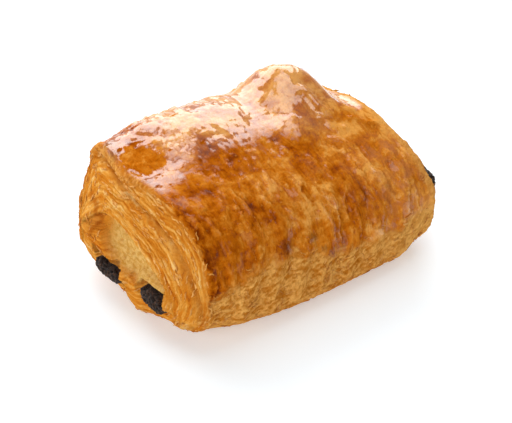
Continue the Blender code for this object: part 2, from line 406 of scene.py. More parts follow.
class Graph:
    """Adds nodes to a material's or a modifier's tree."""

    def __init__(self, tree):
        self.tree = tree

    def make(self, kind, settings=None, inputs=None, output=0):
        node = self.tree.nodes.new(kind)
        for name, value in (settings or {}).items():
            if name == 'stops':
                self._set_stops(node.color_ramp, value)
            else:
                setattr(node, name, value)
        for key, value in (inputs or {}).items():
            if value is None:
                continue
            if isinstance(value, Sum):
                self.tree.links.new(value.socket, node.inputs[key])
            else:
                node.inputs[key].default_value = value
        return Sum(self, node.outputs[output])

    @staticmethod
    def _set_stops(ramp, stops):
        while len(ramp.elements) < len(stops):
            ramp.elements.new(0.5)
        for element, (place, colour) in zip(ramp.elements, stops):
            element.position = place
            element.color = (*colour, 1.0)

    def ease(self, low, high, value):
        return self.make('ShaderNodeMapRange', {'interpolation_type': 'SMOOTHSTEP'},
                         {'Value': value, 'From Min': low, 'From Max': high})

    def edge(self, name, value):
        """The named soft edge of a value."""
        return self.ease(*EDGES[name], value)

    def noise(self, place, scale, detail, roughness, distortion):
        return self.make('ShaderNodeTexNoise', None,
                         {'Vector': place, 'Scale': scale, 'Detail': detail,
                          'Roughness': roughness, 'Distortion': distortion})

    def field(self, place, name):
        """The named noise field at a place."""
        return self.noise(place, *FIELDS[name])

    def cells(self, place, scale, softness):
        """Distance from the middle of the nearest cell, rounded where cells meet."""
        return self.make('ShaderNodeTexVoronoi', {'feature': 'SMOOTH_F1'},
                         {'Vector': place, 'Scale': scale, 'Smoothness': softness,
                          'Randomness': 1.0})

    def vector(self, operation, first, second, output=0):
        return self.make('ShaderNodeVectorMath', {'operation': operation}, {0: first, 1: second},
                         output)

    def combine(self, x, y, z):
        return self.make('ShaderNodeCombineXYZ', None, {0: x, 1: y, 2: z})

    def tint(self, amount, first, second):
        """A colour between two colours or links of colour."""
        node = self.tree.nodes.new('ShaderNodeMix')
        node.data_type = 'RGBA'
        pairs = ((node.inputs[0], amount), (node.inputs[6], first), (node.inputs[7], second))
        for socket, value in pairs:
            if isinstance(value, Sum):
                self.tree.links.new(value.socket, socket)
            elif isinstance(value, tuple):
                socket.default_value = (*value, 1.0)
            else:
                socket.default_value = value
        return Sum(self, node.outputs[2])


def srgb(red, green, blue):
    """A display colour in 0..255 as linear light."""
    shares = (c / 255.0 for c in (red, green, blue))
    return tuple(c / 12.92 if c <= 0.04045 else ((c + 0.055) / 1.055) ** 2.4 for c in shares)


def ease(start, end, value):
    t = np.clip((value - start) / (end - start), 0.0, 1.0)
    return t * t * (3.0 - 2.0 * t)


def bell(value, middle, spread, power=2.0):
    return np.exp(-np.abs((value - middle) / spread) ** power)


def signed_power(value, power):
    return np.sign(value) * np.abs(value) ** power


def section(x, columns):
    """Outline of the roll at each x, evenly spaced from the middle of the underside."""
    x = np.asarray(x, dtype=float)[:, None]
    along = np.clip(x / (ROLL_LENGTH / 2), -1.0, 1.0)
    turn = np.linspace(0.0, 1.0, OUTLINE_SAMPLES + 1)[None, :]
    side = -np.sin(2 * np.pi * turn)
    rise = -np.cos(2 * np.pi * turn)
    near_end = ease(0.0, 1.0, -along)
    end_share = ease(END_BEGINS, 1.0, np.abs(along))
    tuck = np.where(along < 0, NEAR_TUCK, FAR_TUCK)
    half_width = ROLL_WIDTH / 2 * (1 + BARREL * (1 - along ** 2))
    half_width = half_width - tuck * end_share * ease(TUCK_BAND, -TUCK_BAND, rise)
    foot = FOOT_POWER + (NEAR_FOOT_POWER - FOOT_POWER) * near_end
    shoulder = MID_SHOULDER_POWER + (END_SHOULDER_POWER - MID_SHOULDER_POWER) * along ** 2
    power = np.where(rise > 0, shoulder, foot)
    top = NEAR_TOP + (FAR_TOP - NEAR_TOP) * (along + 1) / 2
    low = -BASE_SINK * (1 - end_share)
    y = half_width * signed_power(side, 2 / power)
    reach = np.where(rise > 0, top - WAIST_HEIGHT, WAIST_HEIGHT - low)
    z = WAIST_HEIGHT + reach * signed_power(rise, 2 / power)
    upper = ease(WAIST_HEIGHT, WAIST_HEIGHT + UPPER_BLEND, z)
    for cx, cy, sx, sy, height in SWELLINGS:
        z = z + upper * height * bell(x, cx, sx, SWELLING_POWER) * bell(y, cy, sy)
    z = np.maximum(z, 0.0)
    rows = []
    for row_y, row_z in zip(y, z):
        run = np.concatenate(([0.0], np.cumsum(np.hypot(np.diff(row_y), np.diff(row_z)))))
        steps = np.linspace(0.0, run[-1], columns, endpoint=False)
        rows.append((np.interp(steps, run, row_y), np.interp(steps, run, row_z), steps))
    return (np.array(part) for part in zip(*rows))


def stick_distance(y, z, x, stick):
    """Signed distance from a point of a cut end to the side of a stick, in the YZ plane."""
    (x0, y0, z0), (x1, y1, z1), width, thickness = stick
    share = np.clip((x / MM - x0) / (x1 - x0), 0.0, 1.0)
    centre_y = (y0 + (y1 - y0) * share) * MM
    centre_z = (z0 + (z1 - z0) * share) * MM
    dy = np.abs(y - centre_y) - width * MM / 2 + STICK_EDGE
    dz = np.abs(z - centre_z) - thickness * MM / 2 + STICK_EDGE
    outside = np.hypot(np.maximum(dy, 0.0), np.maximum(dz, 0.0))
    return outside + np.minimum(np.maximum(dy, dz), 0.0) - STICK_EDGE


def pocket_reach(y, z):
    """1 on the edge of the hollow middle of a cut end, which is arched above and open below."""
    across = np.abs(y - POCKET_Y) / POCKET_HALF_WIDTH
    above = np.maximum(z - POCKET_Z, 0.0) / POCKET_HALF_HEIGHT
    return (across ** POCKET_POWER + above ** POCKET_POWER) ** (1 / POCKET_POWER)


def lip_height(y):
    """Height of the folded lip below the pocket, which climbs towards the back."""
    return LIP_Z + LIP_RISE * ease(*LIP_CLIMB, y)


def turn_round_core(y, z):
    """Angle round the core of a cut end, 0 at the back, 90 at the top and 180 at the front."""
    turn = np.degrees(np.arctan2(z - CORE_Z, y - CORE_Y))
    return np.where(turn < -90.0, turn + 360.0, turn)


def cut_marks(y, z, rho, rim_y, rim_z):
    """What a point of a cut end belongs to, and how far it stands out in metres."""
    turn = turn_round_core(y, z)
    opening = np.where(turn > CREASE_MIDDLE, CREASE_OPENING_BELOW, CREASE_OPENING_BEHIND)
    crease = CREASE_SHARE + opening * ((turn - CREASE_MIDDLE) / CREASE_QUARTER) ** 2
    shown = ease(*CREASE_SHOWS, turn) * (1 - ease(*CREASE_FADES, turn))
    reach = pocket_reach(y, z)
    rim_reach = pocket_reach(rim_y, rim_z)
    share = (reach - 1.0) / np.maximum(rim_reach - 1.0, LEAST_RIM_REACH)
    wraps = ease(*WRAPS_EDGE, reach)
    lip = lip_height(y)
    above_lip = ease(lip - LIP_SOFTNESS, lip + LIP_SOFTNESS, z)
    pocket = above_lip * (1 - ease(*POCKET_EDGE, reach))
    fold = (1 - above_lip) * (1 - wraps)
    flap = bell(y, FLAP_Y, FLAP_HALF_WIDTH, BLUNT)
    flap = flap * bell(z, FLAP_Z, FLAP_HALF_HEIGHT, BLUNT)
    tongue = bell(y, TONGUE_Y, TONGUE_HALF_WIDTH, VERY_BLUNT) * ease(lip, lip - TONGUE_TOP, z)
    hollow = bell(y, HOLLOW_Y, HOLLOW_HALF_WIDTH, BLUNT)
    hollow = hollow * bell(z, HOLLOW_Z, HOLLOW_HALF_HEIGHT)
    crease_line = shown * bell(rho, crease, CREASE_WIDTH)
    second = ease(*WRAP_EDGE, reach) * (1 - ease(crease - WRAP_FADE, crease, rho))
    relief = -CREASE_DEPTH * crease_line - POCKET_DEPTH * pocket + WRAP_RISE * shown * second
    relief = relief + EDGE_ROLL * bell(reach, EDGE_ROLL_REACH, EDGE_ROLL_WIDTH)
    relief = relief + EDGE_ROLL * bell(z, lip - LIP_ROLL_DROP, LIP_ROLL_DROP) * (1 - wraps)
    relief = relief + FLAP_RISE * flap + TONGUE_RISE * tongue - HOLLOW_DEPTH * hollow
    marks = {'share': np.clip(share, 0.0, 1.0), 'wraps': wraps, 'pocket': pocket, 'fold': fold,
             'hollow': hollow, 'flap': flap,
             'crease': shown * bell(rho, crease, CREASE_MARK_WIDTH)}
    return marks, relief


def crease_rise(x, y):
    """Rise in metres of the creases beside the peak, which run out at their ends."""
    total = 0.0 * (x + y)
    for x0, y0, x1, y1, rise, width in CREASES:
        run = np.array((x1 - x0, y1 - y0))
        length = np.linalg.norm(run)
        dx, dy = x / MM - x0, y / MM - y0
        share = (dx * run[0] + dy * run[1]) / length ** 2
        off = (dx * run[1] - dy * run[0]) / length + CREASE_SWAY * np.sin(CREASE_SWAY_TURN * share)
        ends = ease(*CREASE_RUNS_IN, share) * (1 - ease(*CREASE_RUNS_OUT, share))
        total = total + rise * MM * ends * bell(off, 0.0, width)
    return total


def foot_line(x):
    """Height of the edge between the glazed crust and the matt foot of the front, in mm."""
    return FOOT_HEIGHT + FOOT_RISE * bell(x / MM, FOOT_RISE_X, FOOT_RISE_SPREAD)


def roll_surface(along, columns):
    """Points of the roll and the marks that its materials and relief read, by ring and column."""
    along = np.asarray(along, dtype=float)
    rim_y, rim_z, around = section(np.clip(along, -1.0, 1.0) * ROLL_LENGTH / 2, columns)
    rho = 1.0 - np.clip(np.abs(along) - 1.0, 0.0, 1.0)[:, None]
    outward = np.where(along < 0, -1.0, 1.0)[:, None]
    bulge = np.where(along < 0, NEAR_BULGE, FAR_BULGE)[:, None]
    x = np.clip(along, -1.0, 1.0)[:, None] * ROLL_LENGTH / 2 + 0.0 * rim_y
    near_side = ease(-RECESS_BEGINS, -1.0, along)[:, None]
    back_share = ease(0.0, ROLL_WIDTH / 2, rim_y)
    back_share = back_share * ease(RECESS_LOW * CORE_Z, RECESS_HIGH * CORE_Z, rim_z)
    foot_share = ease(CORE_Z, CAP_FOOT_TOP * CORE_Z, rim_z)
    flare = FAR_FLARE * ease(FLARE_BEGINS, 1.0, along)[:, None] * bell(rim_z, FLARE_Z, FLARE_HEIGHT)
    y = CORE_Y + (rim_y - CORE_Y) * rho
    z = CORE_Z + (rim_z - CORE_Z) * rho
    on_body = rho > 1.0 - TINY
    power = CAP_POWER + (CAP_FOOT_POWER - CAP_POWER) * foot_share
    x = x + outward * bulge * (1 - rho ** power)
    x = x + BACK_RECESS * back_share * rho * near_side + flare * rho
    for middle_y, reach, top, bottom, depth in CURLS:
        curl = bell(y / MM, middle_y, reach, BLUNT) * ease(top, bottom, z / MM)
        x = x + depth * MM * curl * near_side
    marks, relief = cut_marks(y, z, rho, rim_y, rim_z)
    relief = relief * (1 - ease(RIM_BAND, 1.0, rho))
    for stick, brow in ((STICK_BACK, BACK_BROW), (STICK_FRONT, FRONT_BROW)):
        gap = stick_distance(y, z, x, stick)
        relief = relief - STICK_GAP_DEPTH * (1 - ease(*STICK_GAP, gap))
        above = ease(0.0, stick[3] * MM / 2, z - stick[0][2] * MM)
        relief = relief + brow * above * ease(*STICK_GAP, gap) * ease(BROW_REACH, STICK_GAP[1], gap)
    x = x + np.where(on_body, 0.0, outward * relief)
    front = ease(-FRONT_BEGINS * ROLL_WIDTH, -FRONT_FULL * ROLL_WIDTH, y) * ease(*FRONT_FOOT, z)
    sway = WRINKLE_SWAY * np.sin(z / WRINKLE_SWAY_HEIGHT)
    wave = front * np.sin(2 * np.pi * (x / WRINKLE_SPACING + sway))
    middle = 1 - ease(WRINKLE_FADE, 1.0, np.abs(along))[:, None]
    y = y - np.where(on_body, WRINKLE_RISE * wave * middle, 0.0)
    seam = SEAM_DEPTH * bell(y, SEAM_Y, SEAM_WIDTH) * (1 - ease(0.0, SEAM_FADE, z))
    z = z + np.where(on_body, seam, 0.0)
    on_top = ease(CREASED_ABOVE, CREASED_ABOVE + UPPER_BLEND, z)
    cx, cy, spread, rise = SHEEN_SWELLING
    swelling = rise * MM * bell(x / MM, cx, spread) * bell(y / MM, cy, spread)
    z = z + np.where(on_body, (crease_rise(x, y) + swelling) * on_top, 0.0)
    rim_reach = np.hypot(rim_y - CORE_Y, rim_z - CORE_Z)
    turn = turn_round_core(rim_y, rim_z)
    overlap = CRUST_OVERLAP * bell(turn, CRUST_OVERLAP_TURN, CRUST_OVERLAP_SPREAD)
    overlap = overlap * (along < 0)[:, None] * rim_reach
    body_inset = (np.abs(along[:, None]) - 1) * ROLL_LENGTH / 2
    marks['inset'] = (np.where(on_body, body_inset, (1 - rho) * rim_reach) - overlap) / MM
    marks['around'] = around / MM
    marks['foot'] = z / MM - np.where(y < 0, foot_line(x), BACK_FOOT_HEIGHT)
    marks['base'] = 1 - ease(*BASE_BAND, z)
    marks['side'] = ease(*SIDE_BAND, np.abs(rim_y) / (ROLL_WIDTH / 2))
    marks['near'] = np.where(along < 0, 1.0, 0.0)[:, None] + 0.0 * y
    points = np.stack((x, y, z), axis=-1) + SLIDE
    along_step = np.gradient(points, axis=0)
    round_step = np.roll(points, -1, axis=1) - points
    marks['cell'] = np.linalg.norm(np.cross(along_step, round_step), axis=-1) / MM ** 2
    marks['chance'] = np.random.default_rng(FLAKE_SEED).random(y.shape)
    way = round_step / np.maximum(np.linalg.norm(round_step, axis=-1, keepdims=True), TINY * MM * MM)
    marks['way_x'], marks['way_y'], marks['way_z'] = way[..., 0], way[..., 1], way[..., 2]
    return points, marks


def ring_positions():
    near = -1.0 - np.linspace(1.0, 0.0, NEAR_RINGS + 1)
    body = np.linspace(-1.0, 1.0, BODY_RINGS + 1)[1:-1]
    far = 1.0 + np.linspace(0.0, 1.0, FAR_RINGS + 1)
    return np.concatenate((near, body, far))


def reshaped_sphere(name, points, marks):
    """A UV sphere whose vertices move to points[ring, column], with the marks as attributes."""
    rings, columns = points.shape[:2]
    bm = bmesh.new()
    bmesh.ops.create_uvsphere(bm, u_segments=columns, v_segments=rings - 1, radius=1.0)
    mesh = bpy.data.meshes.new(name)
    bm.to_mesh(mesh)
    bm.free()
    place = np.empty(len(mesh.vertices) * 3, dtype=np.float32)
    mesh.vertices.foreach_get('co', place)
    place = place.reshape(-1, 3)
    ring = np.rint(np.arccos(np.clip(place[:, 2], -1, 1)) / np.pi * (rings - 1)).astype(int)
    column = np.rint(np.arctan2(place[:, 1], place[:, 0]) / (2 * np.pi) * columns).astype(int)
    column = column % columns
    mesh.vertices.foreach_set('co', points[ring, column].astype(np.float32).ravel())
    for mark, values in marks.items():
        layer = mesh.attributes.new(mark, 'FLOAT', 'POINT')
        spread = np.broadcast_to(values, (rings, columns))[ring, column]
        layer.data.foreach_set('value', spread.astype(np.float32))
    bm = bmesh.new()
    bm.from_mesh(mesh)
    bmesh.ops.recalc_face_normals(bm, faces=bm.faces)
    bm.to_mesh(mesh)
    bm.free()
    mesh.shade_smooth()
    return bpy.data.objects.new(name, mesh)


def modifier_tree(name, sizes):
    """A Geometry Nodes tree with the mesh as its first input and named numbers after it."""
    tree = bpy.data.node_groups.new(name, 'GeometryNodeTree')
    tree.interface.new_socket('Geometry', in_out='INPUT', socket_type='NodeSocketGeometry')
    for label, value in sizes.items():
        kind = 'NodeSocketInt' if isinstance(value, int) else 'NodeSocketFloat'
        socket = tree.interface.new_socket(label, in_out='INPUT', socket_type=kind)
        socket.default_value = value
    tree.interface.new_socket('Geometry', in_out='OUTPUT', socket_type='NodeSocketGeometry')
    graph = Graph(tree)
    source = tree.nodes.new('NodeGroupInput')
    inputs = {socket.name: Sum(graph, socket) for socket in source.outputs if socket.name}
    return tree, graph, inputs


def close_tree(graph, geometry):
    end = graph.tree.nodes.new('NodeGroupOutput')
    graph.tree.links.new(geometry.socket, end.inputs[0])


def set_sizes(modifier, sizes):
    for item in modifier.node_group.interface.items_tree:
        if item.in_out == 'INPUT' and item.name in sizes:
            modifier[item.identifier] = sizes[item.name]


def grown(piece, tree, sizes, material):
    """The piece with the tree's result as its own plain mesh."""
    modifier = piece.modifiers.new(tree.name, 'NODES')
    modifier.node_group = tree
    set_sizes(modifier, sizes)
    holder = bpy.context.scene.collection
    holder.objects.link(piece)
    bpy.context.view_layer.update()
    depsgraph = bpy.context.evaluated_depsgraph_get()
    mesh = bpy.data.meshes.new_from_object(piece.evaluated_get(depsgraph))
    mesh.name = piece.name
    piece.modifiers.remove(modifier)
    piece.data = mesh
    mesh.materials.clear()
    mesh.materials.append(material)
    mesh.shade_smooth()
    return piece


def named(graph, mark):
    return graph.make('GeometryNodeInputNamedAttribute', {'data_type': 'FLOAT'}, {'Name': mark})


def store(graph, geometry, mark, value):
    return graph.make('GeometryNodeStoreNamedAttribute',
                      {'data_type': 'FLOAT', 'domain': 'POINT'},
                      {'Geometry': geometry, 'Name': mark, 'Value': value})


def moved_out(graph, geometry, height_mm):
    """The geometry with each point moved along its normal by a height in mm."""
    normal = graph.make('GeometryNodeInputNormal')
    offset = graph.vector('SCALE', normal, None)
    node = offset.socket.node
    graph.tree.links.new((height_mm * MM).socket, node.inputs['Scale'])
    return graph.make('GeometryNodeSetPosition', None, {'Geometry': geometry, 'Offset': offset})


def place_in_mm(graph):
    place = graph.make('GeometryNodeInputPosition')
    return graph.vector('MULTIPLY', place, (1.0 / MM, 1.0 / MM, 1.0 / MM))


def axes_of(graph, place):
    split = graph.tree.nodes.new('ShaderNodeSeparateXYZ')
    graph.tree.links.new(place.socket, split.inputs[0])
    return [Sum(graph, socket) for socket in split.outputs]


def stepped(graph, value, edge):
    """Flat treads with rounded risers: whole steps, each with a short rise before the next."""
    tread = value.floor()
    return tread + graph.ease(1.0 - edge, 1.0, value - tread)


def saw(graph, value):
    """A rise from 0 to 1 over each whole step of a value, with a short fall at its end."""
    share = value - value.floor()
    return share * graph.ease(1.0, SAW_FALL, share)


def ridged(field, sharpness):
    """Lines where a noise field passes its middle: 1 on a line and 0 away from it."""
    return 1.0 - (abs(field - 0.5) * sharpness).at_most(1.0)


def pitted(cells, reach):
    """Pits round the middles of the cells: 0 outside their reach and below 0 inside."""
    return (reach - cells).at_least(0.0) * -PIT_SLOPE


def from_least(value, least):
    """A value of 0 to 1 as one of least to 1."""
    return value * (1.0 - least) + least


SAW_FALL = 0.84
PIT_SLOPE = 2.2

RELIEF_SIZES = {
    'Lump Height': 0.75, 'Dent Height': 0.22, 'Wrinkle Height': 0.40, 'Fine Height': 0.16,
    'Leaf Step': 0.10, 'Fold Height': 0.60, 'Foot Crumb Height': 0.38, 'Foot Edge Height': 0.24,
    'Rim Lip': 0.22, 'Streak Height': 0.60, 'Leaf Edge Height': 0.40, 'Pore Depth': 0.40,
    'Sponge Height': 0.20, 'Seed': 3,
}
SEED_STEP = 13.7

# Marks of the roll that its relief reads
ROLL_MARKS = ('inset', 'around', 'foot', 'base', 'side', 'share', 'wraps', 'pocket', 'fold')

# How far the edges of the cut and of the egg wash wander, and how far the crust's fields bend, in mm
RIM_RAGGED = 1.6
WASH_RAGGED = 11.0
BEND_REACH = 9.0
WASH_STRETCH = (1.0, 1.0, 0.5)
DENT_STRETCH = (0.75, 1.0, 1.0)

# Folds of the crust: rate per mm along and round the roll, bend and wobble; the leaves' steps
FOLD_RATE = 0.26
FOLD_SLANT = 0.030
FOLD_BEND = 6.0
FOLD_WOBBLE = 0.9
FOLD_MIDDLE = 0.25
RIDGE_SHARPNESS = 5.0
FOOT_EDGE_SHARPNESS = 9.0
LEAF_STEPS = 11.0
LEAF_RISER = 0.22
LEAF_SLOPE = 0.85

# Share of each relief that is left on the top of the roll, where its sides have all of it
DENTS_ON_TOP = 0.4
WRINKLES_ON_TOP = 0.15
FOLDS_ON_TOP = 0.10
BASE_SMOOTHING = 0.9

# Layers of the cut ends: how far they wander, slant and drift, and how their edges break
LEAF_WANDER = 3.4
LEAF_WOBBLE = 0.8
FOLD_LEAF_SLANT = 0.15
STREAK_RATES = (0.9, 0.07, 0.05)
BROKEN_RATE = 0.9
DRIFT_RATES = (0.3, 0.16)
DRIFT_DEPTH = 5.0
DRIFT = 2.0
LEAST_PATCH = 0.35
LEAF_EDGE_MIDDLE = 0.4
STREAKS_ON_FOLD = 0.25
POCKET_SMOOTHING = 0.8
PORE_STRETCH = (0.8, 0.55, 0.8)
PORE_SOFTNESS = 0.25
PORE_REACH = 0.40
PORES_ALL_OVER = 0.2
PORES_IN_POCKET = 0.9
PORES_ON_FOLD = 0.4


def relief_fields(graph, size):
    """Place in mm and the marks of the roll that its relief reads."""
    place = place_in_mm(graph)
    place = graph.vector('ADD', place, graph.combine(size['Seed'] * SEED_STEP, 0.0, 0.0))
    x, y, z = axes_of(graph, place)
    at = SimpleNamespace(place=place, x=x, y=y, z=z)
    for mark in ROLL_MARKS:
        setattr(at, mark, named(graph, mark))
    at.bend = graph.field(place, 'bend') * BEND_REACH
    return at


def flow(graph, at, name):
    """A field that is drawn out round the roll, by its row in FLOWS."""
    along, around, along_bend, around_bend, depth, detail, roughness, distortion = FLOWS[name]
    place = graph.combine(at.x * along + at.bend * along_bend,
                          at.around * around + at.bend * around_bend, depth)
    return graph.noise(place, 1.0, detail, roughness, distortion)


def crust_relief(graph, size, at):
    """Height of the crust in mm, with folds and leaves where it is washed and crumbs at the foot."""
    cut_line = at.inset + (graph.field(at.place, 'rim') - 0.5) * RIM_RAGGED
    cut = graph.edge('cut', cut_line)
    wash_place = graph.vector('MULTIPLY', at.place, WASH_STRETCH)
    wash_line = at.foot + (graph.field(wash_place, 'wash') - 0.5) * WASH_RAGGED
    washed = graph.edge('washed', wash_line) * (1.0 - cut) * (1.0 - at.base)

    lumps = graph.field(at.place, 'lumps') - 0.5
    dents = graph.field(graph.vector('MULTIPLY', at.place, DENT_STRETCH), 'dents') - 0.5
    ridges = ridged(flow(graph, at, 'ridges'), RIDGE_SHARPNESS)
    down = (flow(graph, at, 'down') - 0.5) * at.side
    lengthwise = (flow(graph, at, 'lengthwise') - 0.5) * (1.0 - at.side)
    folds = at.x * FOLD_RATE + at.around * FOLD_SLANT + flow(graph, at, 'fold_bend') * FOLD_BEND
    folds = saw(graph, folds + graph.field(at.place, 'fold_wobble') * FOLD_WOBBLE)
    folds = folds * graph.edge('fold_patch', flow(graph, at, 'fold_patch'))
    leaves = flow(graph, at, 'leaves')
    steps = leaves * LEAF_STEPS
    terraces = (stepped(graph, steps, LEAF_RISER) - steps * LEAF_SLOPE) * size['Leaf Step']
    crumbs = graph.field(at.place, 'crumbs') - 0.5
    foot_edges = ridged(flow(graph, at, 'foot_edges'), FOOT_EDGE_SHARPNESS)

    height = lumps * size['Lump Height']
    height = height + dents * size['Dent Height'] * from_least(at.side, DENTS_ON_TOP)
    creased = ridges * size['Wrinkle Height'] * from_least(at.side, WRINKLES_ON_TOP)
    creased = creased + (down + lengthwise) * size['Fine Height'] + terraces
    fold_height = size['Fold Height'] * from_least(at.side, FOLDS_ON_TOP)
    creased = creased + (folds - FOLD_MIDDLE) * fold_height
    flaky = crumbs * size['Foot Crumb Height'] + foot_edges * size['Foot Edge Height'] + terraces
    height = height + creased * washed + flaky * (1.0 - washed)
    lip = graph.edge('lip_outside', at.inset) * graph.edge('lip_inside', at.inset)
    height = height + lip * size['Rim Lip'] * graph.edge('lip_leaf', leaves)
    height = height * (1.0 - cut) * (1.0 - at.base * BASE_SMOOTHING)
    marks = {'cut_line': cut_line, 'wash_line': wash_line, 'terrace': leaves,
             'foot_edge': foot_edges, 'folds': folds}
    return height, cut, marks


def cut_relief(graph, size, at):
    """Height of the cut ends in mm, with the edges of their layers and the pores of the crumb."""
    wander = (graph.field(at.place, 'wander') - 0.5) * LEAF_WANDER
    wobble = (graph.field(at.place, 'wobble') - 0.5) * LEAF_WOBBLE
    fold_leaf = (at.z + at.y * FOLD_LEAF_SLANT) * (1.0 - at.wraps)
    leaf = at.share * LEAVES_PER_WRAP * at.wraps + fold_leaf + wander + wobble
    across, drawn, depth = STREAK_RATES
    streak_place = graph.combine(leaf * across, at.around * drawn, at.x * depth)
    streak = graph.field(streak_place, 'streak') - 0.5
    drift_place = graph.combine(leaf * DRIFT_RATES[0], at.around * DRIFT_RATES[1], DRIFT_DEPTH)
    broken = saw(graph, leaf * BROKEN_RATE + graph.field(drift_place, 'leaf_drift') * DRIFT)
    patches = graph.edge('leaf_patches', graph.field(at.place, 'leaf_patches'))
    patches = from_least(patches, LEAST_PATCH)
    pores = graph.cells(graph.vector('MULTIPLY', at.place, PORE_STRETCH), 1.0, PORE_SOFTNESS)
    pores = pitted(pores, PORE_REACH)
    sponge = graph.field(at.place, 'sponge') - 0.5

    height = streak * size['Streak Height'] * from_least(at.wraps, STREAKS_ON_FOLD)
    leaf_edges = (broken - LEAF_EDGE_MIDDLE) * size['Leaf Edge Height'] * patches
    height = height + leaf_edges * (1.0 - at.pocket * POCKET_SMOOTHING)
    height = height + sponge * size['Sponge Height']
    porous = PORES_ALL_OVER + at.pocket * PORES_IN_POCKET + at.fold * PORES_ON_FOLD
    height = height + pores * size['Pore Depth'] * porous
    marks = {'leaf': leaf, 'streak': streak, 'broken': broken * patches, 'pore': pores}
    return height, marks


def relief_tree():
    """Wrinkles and leaves of the crust, and the layers and crumb of the cut ends."""
    tree, graph, size = modifier_tree('Baked relief', RELIEF_SIZES)
    at = relief_fields(graph, size)
    crust_height, cut, crust_marks = crust_relief(graph, size, at)
    cut_height, cut_marks_made = cut_relief(graph, size, at)
    total = crust_height + cut_height * cut
    geometry = moved_out(graph, size['Geometry'], total)
    for mark, value in {'lift': total, **crust_marks, **cut_marks_made}.items():
        geometry = store(graph, geometry, mark, value)
    close_tree(graph, geometry)
    return tree


def material(name):
    made = bpy.data.materials.new(name)
    made.use_nodes = True
    graph = Graph(made.node_tree)
    shader = made.node_tree.nodes['Principled BSDF']
    return made, graph, shader


def join(graph, value, shader, socket):
    graph.tree.links.new(value.socket, shader.inputs[socket])


def object_mm(graph):
    coordinates = graph.tree.nodes.new('ShaderNodeTexCoord')
    place = Sum(graph, coordinates.outputs['Object'])
    return graph.vector('MULTIPLY', place, (1.0 / MM, 1.0 / MM, 1.0 / MM))


def mark_of(graph, mark):
    return graph.make('ShaderNodeAttribute', {'attribute_name': mark}, None, 'Fac')


def bumped(graph, height):
    """The normal over a fine relief whose height is in mm."""
    return graph.make('ShaderNodeBump', None, {'Strength': 1.0, 'Distance': MM, 'Height': height})


CRUST_STOPS = (
    (0.00, srgb(230, 158, 72)),
    (0.28, srgb(204, 120, 30)),
    (0.50, srgb(186, 98, 10)),
    (0.74, srgb(158, 74, 4)),
    (1.00, srgb(116, 46, 4)),
)
CRUST_BURNT = srgb(82, 32, 12)
# Painted pink sheen of the glaze, for patches on the front at the right
CRUST_PINK_SHEEN = srgb(204, 132, 74)
FOOT_TAN = srgb(192, 114, 30)
FOOT_PALE = srgb(238, 176, 92)
FOOT_TOASTED = srgb(150, 78, 14)
LEAF_STOPS = (
    (0.00, srgb(172, 84, 18)),
    (0.25, srgb(204, 118, 28)),
    (0.50, srgb(216, 138, 46)),
    (0.75, srgb(230, 162, 72)),
    (1.00, srgb(243, 196, 120)),
)
LEAF_TOASTED = srgb(178, 94, 18)
# Darker gaps between the layers: partly browned dough, partly painted shade
LEAF_GAP_TONE_AND_SHADE = srgb(160, 82, 26)
CREASE_LINE = srgb(150, 74, 20)
POCKET_CRUMB = srgb(204, 146, 62)
POCKET_PALE = srgb(230, 186, 110)
POCKET_AMBER = srgb(214, 134, 30)
# Painted shade of the hollow above the back stick
HOLLOW_SHADE_BROWN = srgb(130, 72, 20)


# Marks of the roll that its finish reads
PASTRY_MARKS = ('lift', 'around', 'streak', 'broken', 'pocket', 'hollow', 'flap', 'crease', 'inset',
                'base', 'terrace', 'pore', 'folds', 'foot_edge', 'leaf', 'cut_line', 'wash_line')

# Rates per mm along, round and up of the brown strands; stretch of the crumb's grain
STRAND_RATES = (1.1, 0.22, 0.05)
GRAIN_STRETCH = (1.0, 0.8, 0.9)

# Leaves of the crust, each of its own brown: steps of the leaf field, fraying, size and offset
CHIP_STEPS = 18.0
CHIP_FRAY = {'fine': 1.2, 'strand': 1.5}
CHIP_RATE = (0.16, 0.16, 0.16)
CHIP_OFFSET = (5.1, 3.3)

# Fraying of the edges in mm, and how bare the glaze leaves the rim
CUT_FRAY = {'fine': 1.1}
WASH_FRAY = {'fine': 5.0}
RIM_FRAY = {'fine': 3.0}
GLAZE_FRAY = {'patch': 2.0}
RIM_BARENESS = 0.85

# How brown the crust is: level, weights of the fields, and what height and folds take away. Height
# and folds make the crust paler on its rises and darker in its hollows: partly paler edges of leaves,
# partly painted shade.
BAKE_LEVEL = 0.50
BAKE_WEIGHTS = {'broad': 1.5, 'patch': 1.3, 'strand': 0.5, 'fine': 0.35, 'speck': 0.12, 'chip': 0.75}
LIFT_PALENESS_AND_SHADE = 0.42
FOLD_PALENESS_AND_SHADE = 0.12
BAKE_RIM = 0.40
BAKE_FOOT = 0.06

# Zones that are baked more or less: run of x and of y in mm, from none to full, and the change
BAKE_ZONES = (
    # Paler over the back of the top, where the sheen lies: partly a paler crust, partly painted sheen
    (None, (-2.0, 6.0), -0.16),
    (None, (-2.0, -10.0), 0.05),
    (None, (17.0, 25.0), 0.38),
    ((-8.0, 0.0), (-16.0, -8.0), -0.11),
    ((-12.0, -26.0), None, 0.08),
    ((-12.0, -26.0), (-4.0, -12.0), 0.06),
    ((4.0, 24.0), None, -0.04),
    ((24.0, 33.0), None, -0.40),
)
PALE_LEAF = 0.55
SCORCH_STRENGTH = 0.55
SCORCH_EDGE = (1.25, 0.25)
SCORCH_FRAY = (('fine', 2.4), ('patch', 2.0), ('strand', 2.0))
# Painted pink sheen: strength, share of the strands in its patches, and its runs of x and y in mm
PINK_SHEEN_STRENGTH = 0.45
PINK_SHEEN_STRAND = 0.3
PINK_SHEEN_ZONE = ((8.0, 26.0), (-8.0, -16.0))

